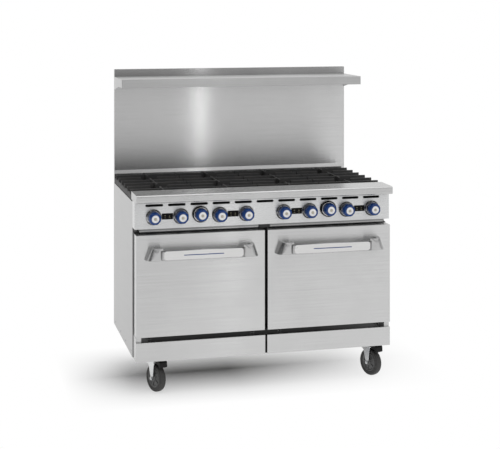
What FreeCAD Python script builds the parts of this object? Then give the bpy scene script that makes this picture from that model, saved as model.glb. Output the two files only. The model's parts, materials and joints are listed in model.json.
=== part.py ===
import FreeCAD, Part
import os
import re

import Sketcher

# A restaurant gas range: eight open burners over two ovens, with a backguard, a high shelf and casters.
# Millimetres. The origin is on the floor at the middle of the footprint; +X is the cook's right, +Y the wall
# side and +Z up.

SIZES = {
    # overall
    "half_width": 609.6,
    "rear_face": 414.5,
    "overall_height": 1448,
    "sheet_gauge": 1.5,
    "gap": 0.4,
    # heights above the floor
    "base_bottom": 156,
    "kick_top": 243,
    "hinge_height": 260,
    "door_bottom": 267,
    "door_top": 730,
    "tray_bottom": 738,
    "tray_top": 752,
    "panel_bottom": 754,
    "side_top": 871,
    "frame_top": 872.8,
    "grate_bottom": 873,
    "bar_bottom": 897,
    "ledge_bottom": 878,
    "ledge_top": 915,
    "grate_top": 917,
    "trim_top": 936,
    "shelf_top": 1411,
    "shelf_lip": 41,
    "bracket_drop": 66,
    # depths, front to back
    "ledge_front": -385.5,
    "door_front": -354.5,
    "hinge_depth": -341.5,
    "base_front": -338,
    "panel_front": -330.5,
    "door_back": -283.5,
    "frame_front": -282,
    "side_front": -258,
    "grate_front": -218,
    "shelf_front": 108,
    "bracket_bend": 230,
    "base_back": 384,
    "rear_sheet": 390,
    "guard_front": 393,
    # base and casters
    "base_half": 580,
    "base_gauge": 3,
    "base_flange": 40,
    "caster_across": 519,
    "caster_front": -248,
    "caster_back": 300,
    "caster_toe": 24,
    "caster_trail": 37,
    "plate_half": 47,
    "plate_gauge": 4,
    "bolt_offset": 36,
    "kingpin_radius": 6,
    "wheel_radius": 63.5,
    "wheel_half": 16,
    "hub_radius": 43,
    "axle_radius": 6,
    "fork_inner": 21,
    "fork_gauge": 4,
    "fork_top": 139,
    "pedal_pin_back": 44,
    "pedal_pin_height": 138,
    "small_pin": 3,
    "pin_bore": 3.05,
    "running_gap": 0.05,
    # doors
    "door_centre": 304.8,
    "door_inner": 7,
    "door_outer": 606,
    "lug_offset": 240,
    "lug_half": 4,
    "lug_gap": 0.5,
    "ear_gauge": 5,
    "ear_radius": 6,
    "grip_half": 185,
    "grip_front": -414.5,
    "grip_bottom": 622,
    "grip_top": 667,
    "bracket_half": 265,
    "bracket_bottom": 621,
    "bracket_top": 676,
    # ovens
    "oven_half": 254,
    "oven_bottom": 303,
    "oven_top": 659,
    "oven_back": 362,
    "plug_half": 244,
    "insulation": 30,
    "rack_height": 470,
    # controls
    "knob_height": 807.5,
    "thermostat_height": 814,
    "pair_outer": 460,
    "pair_inner": 152.4,
    "knob_spread": 63,
    "thermostat_across": 306,
    "knob_radius": 31,
    "knob_cap": 18.5,
    "knob_start": 10,
    "knob_reach": 58,
    "flute_radius": 6,
    "stem_radius": 3,
    "bezel_radius": 36.5,
    "bezel_depth": 8,
    "dial_radius": 39,
    "label_half": 25,
    "slot_length": 81,
    "slot_height": 11,
    "slot_pitch": 104,
    "slot_level": 861.5,
    # burners and gas
    "burner_pitch": 304.8,
    "pipe_radius": 16.7,
    "pipe_height": 776,
    "pipe_depth": -296,
    "pipe_side": 560,
    "inlet_radius": 13.335,
    "venturi_radius": 15,
    "venturi_height": 812,
    "head_radius": 45,
    # grates
    "bar_half": 6,
    "finger_start": 40,
    "flame_radius": 58,
    "flame_slot_half": 30,
    "flame_slot_reach": 128,
}

BURNER_KNOBS = {
    "far_left_front": "-pair_outer - knob_spread",
    "far_left_rear": "-pair_outer + knob_spread",
    "left_front": "-pair_inner - knob_spread",
    "left_rear": "-pair_inner + knob_spread",
    "right_front": "pair_inner - knob_spread",
    "right_rear": "pair_inner + knob_spread",
    "far_right_front": "pair_outer - knob_spread",
    "far_right_rear": "pair_outer + knob_spread",
}
OVENS = {"left": "-door_centre", "right": "door_centre"}
COLUMNS = {
    "far_left": "-1.5 * burner_pitch",
    "left": "-0.5 * burner_pitch",
    "right": "0.5 * burner_pitch",
    "far_right": "1.5 * burner_pitch",
}
ROWS = {"front": "grate_front + 0.5 * burner_pitch", "rear": "grate_front + 1.5 * burner_pitch"}
CASTERS = {
    "front_left": ("-caster_across", "caster_front"),
    "front_right": ("caster_across", "caster_front"),
    "rear_left": ("-caster_across", "caster_back"),
    "rear_right": ("caster_across", "caster_back"),
}
AXES = {"x": FreeCAD.Vector(1, 0, 0), "y": FreeCAD.Vector(0, 1, 0), "z": FreeCAD.Vector(0, 0, 1)}

doc = FreeCAD.newDocument("gas_range")
sheet = doc.addObject("Spreadsheet::Sheet", "sizes")
for row, (word, number) in enumerate(SIZES.items(), start=1):
    sheet.set(f"A{row}", str(number))
    sheet.setAlias(f"A{row}", word)
doc.recompute()

nodes = []


# ---- helpers: every size and place is a formula of the sheet's words ----


def named(text):
    """The formula as other objects of the document read it."""
    return re.sub(r"[a-z][a-z_]+", lambda m: "sizes." + m[0] if m[0] in SIZES else m[0], str(text))


def amount(text):
    """The formula's value now, for a sketch's first shape."""
    return float(sheet.evalExpression(str(text)))


def bind(thing, **formulas):
    for place, text in formulas.items():
        thing.setExpression(place.replace("__", "."), named(text))
    return thing


def put(thing, x="0", y="0", z="0", turn=None):
    """Places a thing; turn is a quarter turn's axis and degrees."""
    if turn:
        thing.Placement = FreeCAD.Placement(FreeCAD.Vector(), FreeCAD.Rotation(AXES[turn[0]], turn[1]))
    return bind(thing, Placement__Base__x=x, Placement__Base__y=y, Placement__Base__z=z)


def block(name, x, y, z):
    """A box between two formulas along each axis."""
    box = doc.addObject("Part::Box", name)
    bind(box, Length=f"({x[1]}) - ({x[0]})", Width=f"({y[1]}) - ({y[0]})", Height=f"({z[1]}) - ({z[0]})")
    return put(box, x[0], y[0], z[0])


def rod(name, start, radius, length, along="z"):
    """A cylinder from its start point along an axis."""
    cylinder = doc.addObject("Part::Cylinder", name)
    bind(cylinder, Radius=radius, Height=length)
    turns = {"x": ("y", 90), "y": ("x", -90), "z": None}
    return put(cylinder, *start, turn=turns[along])


def join(name, *pieces):
    fused = doc.addObject("Part::MultiFuse", name)
    fused.Shapes = list(pieces)
    return fused


def gather(name, *pieces):
    group = doc.addObject("Part::Compound", name)
    group.Links = list(pieces)
    return group


def cut(name, base, *tools):
    result = doc.addObject("Part::Cut", name)
    result.Base = base
    result.Tool = tools[0] if len(tools) == 1 else join(name + "_tools", *tools)
    return result


def outline_sketch(body, name, plane, points):
    """A closed outline on one of the body's origin planes, each corner tied to the sheet."""
    sketch = body.newObject("Sketcher::SketchObject", name)
    origin_plane = [f for f in body.Origin.OriginFeatures if f.Role == plane][0]
    sketch.AttachmentSupport = [(origin_plane, "")]
    sketch.MapMode = "FlatFace"
    corners = [FreeCAD.Vector(amount(across), amount(up), 0) for across, up in points]
    for i, corner in enumerate(corners):
        sketch.addGeometry(Part.LineSegment(corner, corners[(i + 1) % len(corners)]), False)
    for i in range(len(corners)):
        sketch.addConstraint(Sketcher.Constraint("Coincident", i, 2, (i + 1) % len(corners), 1))
    for i, corner in enumerate(corners):
        across, up = points[i]
        for kind, value, text in (("DistanceX", corner.x, across), ("DistanceY", corner.y, up)):
            tie = sketch.addConstraint(Sketcher.Constraint(kind, -1, 1, i, 1, value))
            sketch.setExpression(f"Constraints[{tie}]", named(text))
    return sketch


def extrusion(name, plane, points, length, at=("0", "0", "0")):
    """A body padded from an outline: YZ_Plane pads towards +X, XY_Plane towards +Z, XZ_Plane towards -Y."""
    body = doc.addObject("PartDesign::Body", name)
    pad = body.newObject("PartDesign::Pad", name + "_pad")
    pad.Profile = outline_sketch(body, name + "_outline", plane, points)
    bind(pad, Length=length)
    return put(body, *at)


def turned(name, points, at, plane="XY_Plane", axis="Y_Axis"):
    """A body revolved about one of its own axes from an outline of (radius, along) corners."""
    body = doc.addObject("PartDesign::Body", name)
    sketch = outline_sketch(body, name + "_outline", plane, points)
    revolution = body.newObject("PartDesign::Revolution", name + "_turn")
    revolution.Profile = sketch
    revolution.ReferenceAxis = ([f for f in body.Origin.OriginFeatures if f.Role == axis][0], [""])
    revolution.Angle = 360
    return put(body, *at)


def round_edges(name, base, radius, choose):
    """Rounds the edges of base that choose picks by their middle point and direction."""
    doc.recompute()
    fillet = doc.addObject("Part::Fillet", name)
    fillet.Base = base
    picked = []
    for i, edge in enumerate(base.Shape.Edges, start=1):
        if choose(edge.CenterOfMass, edge.tangentAt(edge.FirstParameter)):
            picked.append((i, amount(radius), amount(radius)))
    fillet.Edges = picked
    return fillet


def node(name, thing):
    """Names a finished sub-part; its label is its file's name."""
    thing.Label = name
    nodes.append(thing)
    return thing


# ---- frame, panels and sheet metal ----


def hinge_ear(name, x_low, x_high):
    """One ear of a hinge bracket: a disc round the pin, on a stem from the base's front rail."""
    start = (x_low, "hinge_depth", "hinge_height")
    disc = rod(name + "_disc", start, "ear_radius", f"({x_high}) - ({x_low})", "x")
    stem = block(
        name + "_stem",
        (x_low, x_high),
        ("hinge_depth + 2.5", "base_front + base_gauge"),
        ("kick_top - 40", "hinge_height"),
    )
    return join(name, disc, stem)


def base_frame():
    """Welded perimeter rail, a riser behind the toe gap, a flange, cross rails, pads and hinge brackets."""
    x = ("-base_half", "base_half")
    y = ("base_front", "base_back")
    inset_x = ("-base_half + base_gauge", "base_half - base_gauge")
    inset_y = ("base_front + base_gauge", "base_back - base_gauge")
    through = ("base_bottom - 1", "kick_top + 1")
    outer = block("base_block", x, y, ("base_bottom", "kick_top"))
    rail = cut("base_rail", outer, block("base_void", inset_x, inset_y, through))
    flange = cut(
        "base_flange_ring",
        block("flange_block", x, y, ("base_bottom", "base_bottom + base_gauge")),
        block(
            "flange_void",
            ("-base_half + base_flange", "base_half - base_flange"),
            ("base_front + base_flange", "base_back - base_flange"),
            through,
        ),
    )
    riser_y = ("base_front", "base_front + base_gauge")
    riser = block("base_riser", x, riser_y, ("kick_top - 1", "door_bottom - 1.5"))
    lug_gaps = []
    for oven, centre in OVENS.items():
        for side in (-1, 1):
            lug = f"{centre} + {side} * lug_offset"
            gap_x = (f"{lug} - lug_half - lug_gap", f"{lug} + lug_half + lug_gap")
            gap_y = ("base_front - 1", "base_front + base_gauge + 1")
            gap_z = ("hinge_height - 8", "door_bottom")
            lug_gaps.append(block(f"lug_gap_{oven}_{side + 2}", gap_x, gap_y, gap_z))
    pieces = [rail, flange, cut("base_riser_cut", riser, *lug_gaps)]
    for side in (-1, 0, 1):
        pieces.append(
            block(
                f"cross_rail_{side + 2}",
                (f"{side} * door_centre - 15", f"{side} * door_centre + 15"),
                inset_y,
                ("kick_top - 25", "kick_top"),
            )
        )
    for corner, (across, deep) in CASTERS.items():
        pieces.append(
            block(
                f"caster_pad_{corner}",
                (f"{across} - plate_half - 8", f"{across} + plate_half + 8"),
                (f"{deep} - plate_half - 8", f"{deep} + plate_half + 8"),
                ("base_bottom", "base_bottom + 4"),
            )
        )
    for oven, centre in OVENS.items():
        for side in (-1, 1):
            middle = f"({centre} + {side} * lug_offset)"
            tag = f"{oven}_{side + 2}"
            inner = f"{middle} - lug_half - lug_gap"
            outer = f"{middle} + lug_half + lug_gap"
            pieces.append(hinge_ear(f"ear_a_{tag}", f"{inner} - ear_gauge", inner))
            pieces.append(hinge_ear(f"ear_b_{tag}", outer, f"{outer} + ear_gauge"))
            pin_start = (f"{inner} - ear_gauge", "hinge_depth", "hinge_height")
            pin_length = "2 * (lug_half + lug_gap + ear_gauge)"
            pieces.append(rod(f"hinge_pin_{tag}", pin_start, "small_pin", pin_length, "x"))
    node("base_frame", join("base_weldment", *pieces))


def side_panels():
    """A folded sheet on each side, with its front, rear and bottom edges turned in."""
    panels = []
    for name, side in (("left", -1), ("right", 1)):
        skin = f"{side} * half_width"
        inner = f"{side} * (half_width - sheet_gauge)"
        turn_in = f"{side} * (half_width - 22)"
        panels.append(
            extrusion(
                f"side_sheet_{name}",
                "XY_Plane",
                [
                    (skin, "side_front"),
                    (skin, "rear_face"),
                    (turn_in, "rear_face"),
                    (turn_in, "rear_face - sheet_gauge"),
                    (inner, "rear_face - sheet_gauge"),
                    (inner, "side_front + sheet_gauge"),
                    (turn_in, "side_front + sheet_gauge"),
                    (turn_in, "side_front"),
                ],
                "side_top - base_bottom",
                ("0", "0", "base_bottom"),
            )
        )
    node("side_panels", gather("side_pair", *panels))


def rear_panel():
    """The back sheet, set in from the side panels' rear edges, with the gas pipe's hole and three vents."""
    sheet_block = block(
        "rear_block",
        ("-half_width + 26", "half_width - 26"),
        ("rear_sheet", "rear_sheet + sheet_gauge"),
        ("base_bottom + 8", "side_top - 3"),
    )
    start = ("pipe_side", "rear_sheet - 5", "pipe_height")
    holes = [rod("rear_pipe_hole", start, "pipe_radius + 3", "12", "y")]
    for i in range(3):
        low = f"base_bottom + 30 + {i * 16}"
        deep = ("rear_sheet - 5", "rear_sheet + 7")
        holes.append(block(f"rear_vent_{i}", ("-180", "180"), deep, (low, f"{low} + 6")))
    node("rear_panel", cut("rear_sheet_cut", sheet_block, *holes))


def front_frame():
    """The face frame round the two oven mouths: a shallow tray with two windows."""
    low, high = "door_bottom", "door_top + 3"
    across = ("-half_width + 1.6", "half_width - 1.6")
    face = block("face_block", across, ("frame_front", "side_front - 0.5"), (low, high))
    voids = [
        block(
            "face_void",
            ("-half_width + 3.1", "half_width - 3.1"),
            ("frame_front + sheet_gauge", "side_front + 1"),
            (f"{low} + sheet_gauge", f"{high} - sheet_gauge"),
        )
    ]
    for oven, centre in OVENS.items():
        mouth = (f"{centre} - oven_half", f"{centre} + oven_half")
        deep = ("frame_front - 1", "side_front")
        voids.append(block(f"face_window_{oven}", mouth, deep, ("oven_bottom", "oven_top")))
    node("front_frame", cut("face_cut", face, *voids))


def kick_plates():
    """Two folded plates under the doors, each with two returns and a tab that closes the toe gap."""
    plates = []
    for name, low, high, tab_low, tab_high in (
        ("left", "-door_outer", "-5", "-door_outer", "-door_outer + 25"),
        ("right", "5", "door_outer", "door_outer - 25", "door_outer"),
    ):
        outer_y = ("door_front", "door_front + 15")
        outer = block(f"kick_{name}", (low, high), outer_y, ("base_bottom", "kick_top"))
        inner = block(
            f"kick_void_{name}",
            (f"{low} + sheet_gauge", f"{high} - sheet_gauge"),
            ("door_front + sheet_gauge", "door_front + 16"),
            ("base_bottom + sheet_gauge", "kick_top - sheet_gauge"),
        )
        tab_y = ("door_front + 13.5", "door_front + 15")
        tab = block(f"kick_tab_{name}", (tab_low, tab_high), tab_y, ("kick_top - 1", "door_bottom - 3"))
        plates.append(join(f"kick_plate_{name}", cut(f"kick_tray_{name}", outer, inner), tab))
    node("kick_plates", gather("kick_pair", *plates))


def control_panel():
    """The folded valve cover, with side returns, knob holes and a row of louvre slots along its top."""
    shell = block(
        "panel_block",
        ("-half_width", "half_width"),
        ("panel_front", "side_front"),
        ("panel_bottom", "ledge_bottom"),
    )
    voids = [
        block(
            "panel_void",
            ("-half_width + sheet_gauge", "half_width - sheet_gauge"),
            ("panel_front + sheet_gauge", "side_front + 1"),
            ("panel_bottom + sheet_gauge", "ledge_bottom + 1"),
        ),
        block(
            "panel_bottom_void",
            ("-half_width + sheet_gauge", "half_width - sheet_gauge"),
            ("panel_front + 14", "side_front + 1"),
            ("panel_bottom - 1", "panel_bottom + 3"),
        ),
    ]
    for name, across in BURNER_KNOBS.items():
        voids.append(rod(f"knob_hole_{name}", (across, "panel_front - 2", "knob_height"), "11", "6", "y"))
    for name, side in (("left", -1), ("right", 1)):
        start = (f"{side} * thermostat_across", "panel_front - 2", "thermostat_height")
        voids.append(rod(f"thermostat_hole_{name}", start, "13", "6", "y"))
    straight = "(slot_length / 2 - slot_height / 2)"
    for i in range(-5, 6):
        across = (f"{i} * slot_pitch - {straight}", f"{i} * slot_pitch + {straight}")
        high = ("slot_level - slot_height / 2", "slot_level + slot_height / 2")
        voids.append(block(f"louvre_{i + 5}", across, ("panel_front - 2", "panel_front + 4"), high))
        for end in (0, 1):
            start = (across[end], "panel_front - 2", "slot_level")
            voids.append(rod(f"louvre_end_{i + 5}_{end}", start, "slot_height / 2", "6", "y"))
    node("control_panel", cut("panel_cut", shell, *voids))


def landing_ledge():
    """The hollow bull-nosed ledge in front of the grates, with closed ends."""
    front, back = "ledge_front", "grate_front - 4"
    across = ("-half_width", "half_width")
    outer = block("ledge_block", across, (front, back), ("ledge_bottom + gap", "ledge_top"))
    nose = round_edges("ledge_nose", outer, "9", lambda p, d: abs(d.x) > 0.9 and abs(p.y - amount(front)) < 1)
    inner = block(
        "ledge_void",
        ("-half_width + sheet_gauge", "half_width - sheet_gauge"),
        (f"{front} + 12", f"{back} - sheet_gauge"),
        ("ledge_bottom - 1", "ledge_top - sheet_gauge"),
    )
    node("landing_ledge", cut("ledge_cut", nose, inner))


def top_frame():
    """The black frame that carries the grates, with the burners' support rails and the trays' runners."""
    side = "half_width - 3.6"
    front, back = "grate_front - 3", "rear_sheet - 1"
    wall_low = "tray_bottom - 3"
    pieces = []
    for name, sign in (("left", -1), ("right", 1)):
        wall = sorted((f"{sign} * ({side})", f"{sign} * ({side} - 3)"), key=amount)
        lip = sorted((f"{sign} * ({side})", f"{sign} * ({side} - 24)"), key=amount)
        pieces.append(block(f"top_wall_{name}", wall, (front, back), (wall_low, "frame_top")))
        pieces.append(block(f"top_lip_{name}", lip, (front, back), ("frame_top - 3", "frame_top")))
        runner = sorted((f"{sign} * ({side})", f"{sign} * ({side} - 34)"), key=amount)
        pieces.append(block(f"tray_runner_{name}", runner, (front, back), (wall_low, "tray_bottom - gap")))
    whole = (f"-({side})", side)
    for i, (low, high) in enumerate(((front, "grate_front + 14"), ("guard_front - 17", back))):
        pieces.append(block(f"top_end_{i}", whole, (low, high), ("frame_top - 3", "frame_top")))
    pieces.append(block("top_front_wall", whole, (front, f"{front} + 3"), ("frame_top - 36", "frame_top")))
    pieces.append(block("top_rear_wall", whole, (f"{back} - 3", back), ("frame_top - 36", "frame_top")))
    middle = "grate_front + burner_pitch"
    rail_z = ("frame_top - 4", "frame_top")
    pieces.append(block("top_mid_rail", whole, (f"{middle} - 12", f"{middle} + 12"), rail_z))
    for i in (-1, 0, 1):
        across = (f"{i} * burner_pitch - 12", f"{i} * burner_pitch + 12")
        pieces.append(block(f"top_column_rail_{i + 1}", across, (front, back), rail_z))
    pieces.append(block("centre_wall", ("-1.5", "1.5"), (front, back), (wall_low, "frame_top")))
    pieces.append(block("centre_runner", ("-34", "34"), (front, back), (wall_low, "tray_bottom - gap")))
    pieces.append(block("tray_divider", ("-24", "24"), ("panel_front + 18", front), (wall_low, "tray_top")))
    rail_top = "venturi_height - venturi_radius - gap"
    for i, deep in enumerate(("grate_front + 8", "grate_front + 1.5 * burner_pitch")):
        support_y = (f"{deep} - 8", f"{deep} + 8")
        pieces.append(block(f"burner_rail_{i}", whole, support_y, (f"{rail_top} - 12", rail_top)))
    start = ("pipe_side", "grate_front - 20", "pipe_height")
    pipe_way = rod("supply_way", start, "pipe_radius + 2", "640", "y")
    node("top_frame", cut("top_frame_cut", join("top_weldment", *pieces), pipe_way))


def backguard():
    """The backguard: a flat sleeve, open above and below for the oven flue, with a trim strip at its foot."""
    sleeve = block(
        "guard_block",
        ("-half_width", "half_width"),
        ("guard_front", "rear_face"),
        ("side_top + gap", "overall_height"),
    )
    void = block(
        "guard_void",
        ("-half_width + sheet_gauge", "half_width - sheet_gauge"),
        ("guard_front + sheet_gauge", "rear_face - sheet_gauge"),
        ("side_top - 1", "overall_height + 1"),
    )
    trim_y = ("guard_front - 1.1", "guard_front + 0.5")
    trim = block("guard_trim", ("-half_width + 2", "half_width - 2"), trim_y, ("grate_top + 1", "trim_top"))
    node("backguard", join("guard_welded", cut("guard_sleeve", sleeve, void), trim))


def high_shelf():
    """The shelf's folded tray and, at each end, a bracket whose lower edge drops towards the wall."""
    outer = block(
        "shelf_block",
        ("-half_width + 1.6", "half_width - 1.6"),
        ("shelf_front", "guard_front - gap"),
        ("shelf_top - shelf_lip", "shelf_top"),
    )
    void = block(
        "shelf_void",
        ("-half_width", "half_width"),
        ("shelf_front + sheet_gauge", "guard_front"),
        ("shelf_top - shelf_lip + sheet_gauge", "shelf_top - sheet_gauge"),
    )
    under = block(
        "shelf_under",
        ("-half_width", "half_width"),
        ("shelf_front + 14", "guard_front"),
        ("shelf_top - shelf_lip - 1", "shelf_top - shelf_lip + 3"),
    )
    node("high_shelf", cut("shelf_cut", outer, void, under))
    brackets = []
    for name, start in (("left", "-half_width"), ("right", "half_width - sheet_gauge")):
        brackets.append(
            extrusion(
                f"bracket_{name}",
                "YZ_Plane",
                [
                    ("shelf_front", "shelf_top - shelf_lip"),
                    ("bracket_bend", "shelf_top - shelf_lip"),
                    ("guard_front - gap", "shelf_top - bracket_drop"),
                    ("guard_front - gap", "shelf_top"),
                    ("shelf_front", "shelf_top"),
                ],
                "sheet_gauge",
                (start, "0", "0"),
            )
        )
    node("shelf_brackets", gather("bracket_pair", *brackets))


# ---- gas train ----


def gas_manifold():
    """The front pipe with its end cap and elbow, and the supply pipe to the threaded inlet at the rear."""
    left_end = ("-pipe_side", "pipe_depth", "pipe_height")
    pipe = rod("manifold_pipe", left_end, "pipe_radius", "2 * pipe_side", "x")
    cap = rod("manifold_cap", ("-pipe_side - 8", "pipe_depth", "pipe_height"), "pipe_radius + 4", "30", "x")
    elbow_start = ("pipe_side", "pipe_depth", "pipe_height - 19")
    elbow = rod("manifold_elbow", elbow_start, "pipe_radius + 5", "42", "z")
    collar_start = ("pipe_side - 24", "pipe_depth", "pipe_height")
    collar = rod("elbow_collar", collar_start, "pipe_radius + 4", "10", "x")
    turn = ("pipe_side", "pipe_depth", "pipe_height")
    supply = rod("supply_pipe", turn, "pipe_radius", "rear_sheet + 3 - pipe_depth", "y")
    end = ("pipe_side", "rear_sheet", "pipe_height")
    inlet = rod("inlet_stub", end, "inlet_radius", "rear_face - 0.5 - rear_sheet", "y")
    node("gas_manifold", join("manifold_joined", pipe, cap, elbow, collar, supply, inlet))


def gas_valve(name, across, body_half, middle):
    """A valve on the manifold: body, nipple, spindle for the knob and outlet towards the burner."""
    body = block(
        f"{name}_body",
        (f"{across} - {body_half}", f"{across} + {body_half}"),
        ("pipe_depth - 14", "pipe_depth + 14"),
        (f"{middle} - 12", f"{middle} + 14"),
    )
    nipple_low = "pipe_height + pipe_radius + 0.2"
    nipple = rod(f"{name}_nipple", (across, "pipe_depth", nipple_low), "6", f"{middle} - ({nipple_low})", "z")
    tip = (across, "panel_front - 27.5", middle)
    spindle = rod(f"{name}_spindle", tip, "stem_radius", "pipe_depth - panel_front + 27.5", "y")
    bonnet = rod(f"{name}_bonnet", (across, "pipe_depth - 24", middle), "9", "20", "y")
    outlet = rod(f"{name}_outlet", (across, "pipe_depth + 10", middle), "7", "18", "y")
    return join(name, body, nipple, spindle, bonnet, outlet)


def gas_valves():
    """A valve behind each burner knob and a wider one behind each thermostat knob."""
    valves = []
    for name, across in BURNER_KNOBS.items():
        valves.append(gas_valve(f"valve_{name}", across, "11", "knob_height"))
    for name, side in (("left", -1), ("right", 1)):
        across = f"{side} * thermostat_across"
        valves.append(gas_valve(f"thermostat_valve_{name}", across, "20", "thermostat_height"))
    node("gas_valves", gather("valve_group", *valves))


def top_burners():
    """Eight cast burners: a flared venturi, a neck across to the grate's centre, a riser and a head."""
    burners = []
    for column, centre in COLUMNS.items():
        for row, deep in ROWS.items():
            name = f"{column}_{row}"
            across = BURNER_KNOBS[name]
            start = "pipe_depth + 32"
            level = "venturi_height"
            length = f"{deep} - ({start})"
            tube = rod(f"venturi_{name}", (across, start, level), "venturi_radius", length, "y")
            mouth = rod(f"mouth_{name}", (across, start, level), "venturi_radius + 4", "8", "y")
            low, high = sorted((across, centre), key=amount)
            neck = block(
                f"neck_{name}",
                (low, high),
                (f"{deep} - venturi_radius", f"{deep} + venturi_radius"),
                (f"{level} - venturi_radius", f"{level} + venturi_radius - 2"),
            )
            riser = rod(f"riser_{name}", (centre, deep, f"{level} - venturi_radius"), "20", "50", "z")
            head = turned(
                f"head_{name}",
                [
                    ("0", "0"),
                    ("head_radius - 12", "0"),
                    ("head_radius", "8"),
                    ("head_radius", "14"),
                    ("head_radius - 14", "18"),
                    ("head_radius - 24", "18"),
                    ("head_radius - 28", "13"),
                    ("0", "13"),
                ],
                (centre, deep, "frame_top - 26"),
                plane="XZ_Plane",
                axis="Z_Axis",
            )
            burners.append(join(f"burner_{name}", tube, mouth, neck, riser, head))
    node("top_burners", gather("burner_group", *burners))


def pilot_burners():
    """A small tube from the manifold to the edge of each burner head, with an upturned tip."""
    pilots = []
    for column, centre in COLUMNS.items():
        for row, deep in ROWS.items():
            side = "-30" if row == "front" else "30"
            across = f"{centre} + {side}"
            start = "pipe_depth + 2"
            end = f"{deep} - head_radius - 6"
            level = "venturi_height + 20"
            name = f"{column}_{row}"
            low = "pipe_height + pipe_radius + 0.4"
            drop = rod(f"pilot_drop_{name}", (across, start, low), "3", f"{level} + 5 - ({low})", "z")
            run_start = (across, f"{start} - 4.5", level)
            run = rod(f"pilot_run_{name}", run_start, "2.5", f"{end} - ({start}) + 8", "y")
            tip = rod(f"pilot_tip_{name}", (across, end, f"{level} - 4"), "4", "29", "z")
            pilots.append(join(f"pilot_{name}", drop, run, tip))
    node("pilot_burners", gather("pilot_group", *pilots))


# ---- ovens ----


def oven_liners():
    """Two enamelled boxes, open at the front, with three pairs of rack guides."""
    liners = []
    for oven, centre in OVENS.items():
        front = "frame_front + sheet_gauge + 0.1"
        outer = block(
            f"liner_{oven}",
            (f"{centre} - oven_half - sheet_gauge", f"{centre} + oven_half + sheet_gauge"),
            (front, "oven_back + sheet_gauge"),
            ("oven_bottom - sheet_gauge", "oven_top + sheet_gauge"),
        )
        inner = block(
            f"cavity_{oven}",
            (f"{centre} - oven_half", f"{centre} + oven_half"),
            (f"{front} - 1", "oven_back"),
            ("oven_bottom", "oven_top"),
        )
        guides = []
        for level in range(3):
            high = f"rack_height - 4 + {level - 1} * 88"
            for side in (-1, 1):
                wall = f"{centre} + {side} * oven_half"
                across = sorted((wall, f"{wall} - {side} * 9"), key=amount)
                deep = ("frame_front + 25", "oven_back")
                guides.append(block(f"guide_{oven}_{level}_{side + 1}", across, deep, (f"{high} - 5", high)))
        liners.append(join(f"liner_joined_{oven}", cut(f"liner_box_{oven}", outer, inner), *guides))
    node("oven_liners", gather("liner_pair", *liners))


def oven_floors():
    """The lift-out oven bottoms: inverted trays with heat slots along both sides."""
    floors = []
    for oven, centre in OVENS.items():
        half = "oven_half - 3"
        across = (f"{centre} - ({half})", f"{centre} + {half}")
        deep = ("frame_front + 12", "oven_back - 4")
        tray = block(f"floor_{oven}", across, deep, ("oven_bottom + 0.3", "oven_bottom + 12"))
        hollow = block(
            f"floor_hollow_{oven}",
            (f"{centre} - ({half}) + 2", f"{centre} + {half} - 2"),
            ("frame_front + 14", "oven_back - 6"),
            ("oven_bottom - 1", "oven_bottom + 10"),
        )
        slots = []
        for side in (-1, 1):
            for i in range(6):
                start = f"frame_front + 70 + {i * 85}"
                middle = f"{centre} + {side} * (oven_half - 30)"
                slot_x = (f"{middle} - 5", f"{middle} + 5")
                slot_z = ("oven_bottom", "oven_bottom + 20")
                slot_y = (start, f"{start} + 55")
                slots.append(block(f"floor_slot_{oven}_{side + 1}_{i}", slot_x, slot_y, slot_z))
        floors.append(cut(f"floor_cut_{oven}", tray, hollow, *slots))
    node("oven_floors", gather("floor_pair", *floors))


def oven_burners():
    """One tube burner under each oven floor, with a flame spreader on top."""
    burners = []
    for oven, centre in OVENS.items():
        tube = rod(f"oven_tube_{oven}", (centre, "base_front + 90", "kick_top + 15.2"), "15", "560", "y")
        wing_x = (f"{centre} - 34", f"{centre} + 34")
        wing_y = ("base_front + 120", "base_front + 640")
        wings = block(f"oven_wings_{oven}", wing_x, wing_y, ("kick_top + 26", "kick_top + 31.5"))
        burners.append(join(f"oven_burner_{oven}", tube, wings))
    node("oven_burners", gather("oven_burner_pair", *burners))


def oven_racks():
    """A wire rack on the middle guides of each oven: runners, cross wires and long wires on top."""
    racks = []
    for oven, centre in OVENS.items():
        half = "(oven_half - 6)"
        front, back = "(frame_front + 40)", "(oven_back - 20)"
        wires = []
        for side in (-1, 1):
            across = f"{centre} + {side} * ({half} - 4)"
            start = (across, f"{front} - 6", "rack_height")
            wires.append(rod(f"rack_side_{oven}_{side + 1}", start, "3.5", f"{back} - {front} + 12", "y"))
        for i, deep in enumerate((front, f"({front} + {back}) / 2", back)):
            start = (f"{centre} - {half} - 1", deep, "rack_height - 1")
            wires.append(rod(f"rack_end_{oven}_{i}", start, "3", f"2 * {half} + 2", "x"))
        for i in range(-8, 9):
            start = (f"{centre} + {i} * 28", f"{front} - 5", "rack_height + 3")
            wires.append(rod(f"rack_wire_{oven}_{i + 8}", start, "2.2", f"{back} - {front} + 10", "y"))
        racks.append(join(f"rack_{oven}", *wires))
    node("oven_racks", gather("rack_pair", *racks))


def oven_insulation():
    """Mineral wool over the top, sides and back of each liner."""
    blankets = []
    for oven, centre in OVENS.items():
        outer = block(
            f"wool_{oven}",
            (f"{centre} - oven_half - insulation", f"{centre} + oven_half + insulation"),
            ("side_front + 4", "rear_sheet - 4"),
            ("oven_bottom + 2", "oven_top + insulation"),
        )
        inner = block(
            f"wool_void_{oven}",
            (f"{centre} - oven_half - 2.5", f"{centre} + oven_half + 2.5"),
            ("side_front", "oven_back + 3"),
            ("oven_bottom", "oven_top + 2.5"),
        )
        blankets.append(cut(f"wool_cut_{oven}", outer, inner))
    node("oven_insulation", gather("wool_pair", *blankets))


# ---- doors and trays ----


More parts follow.
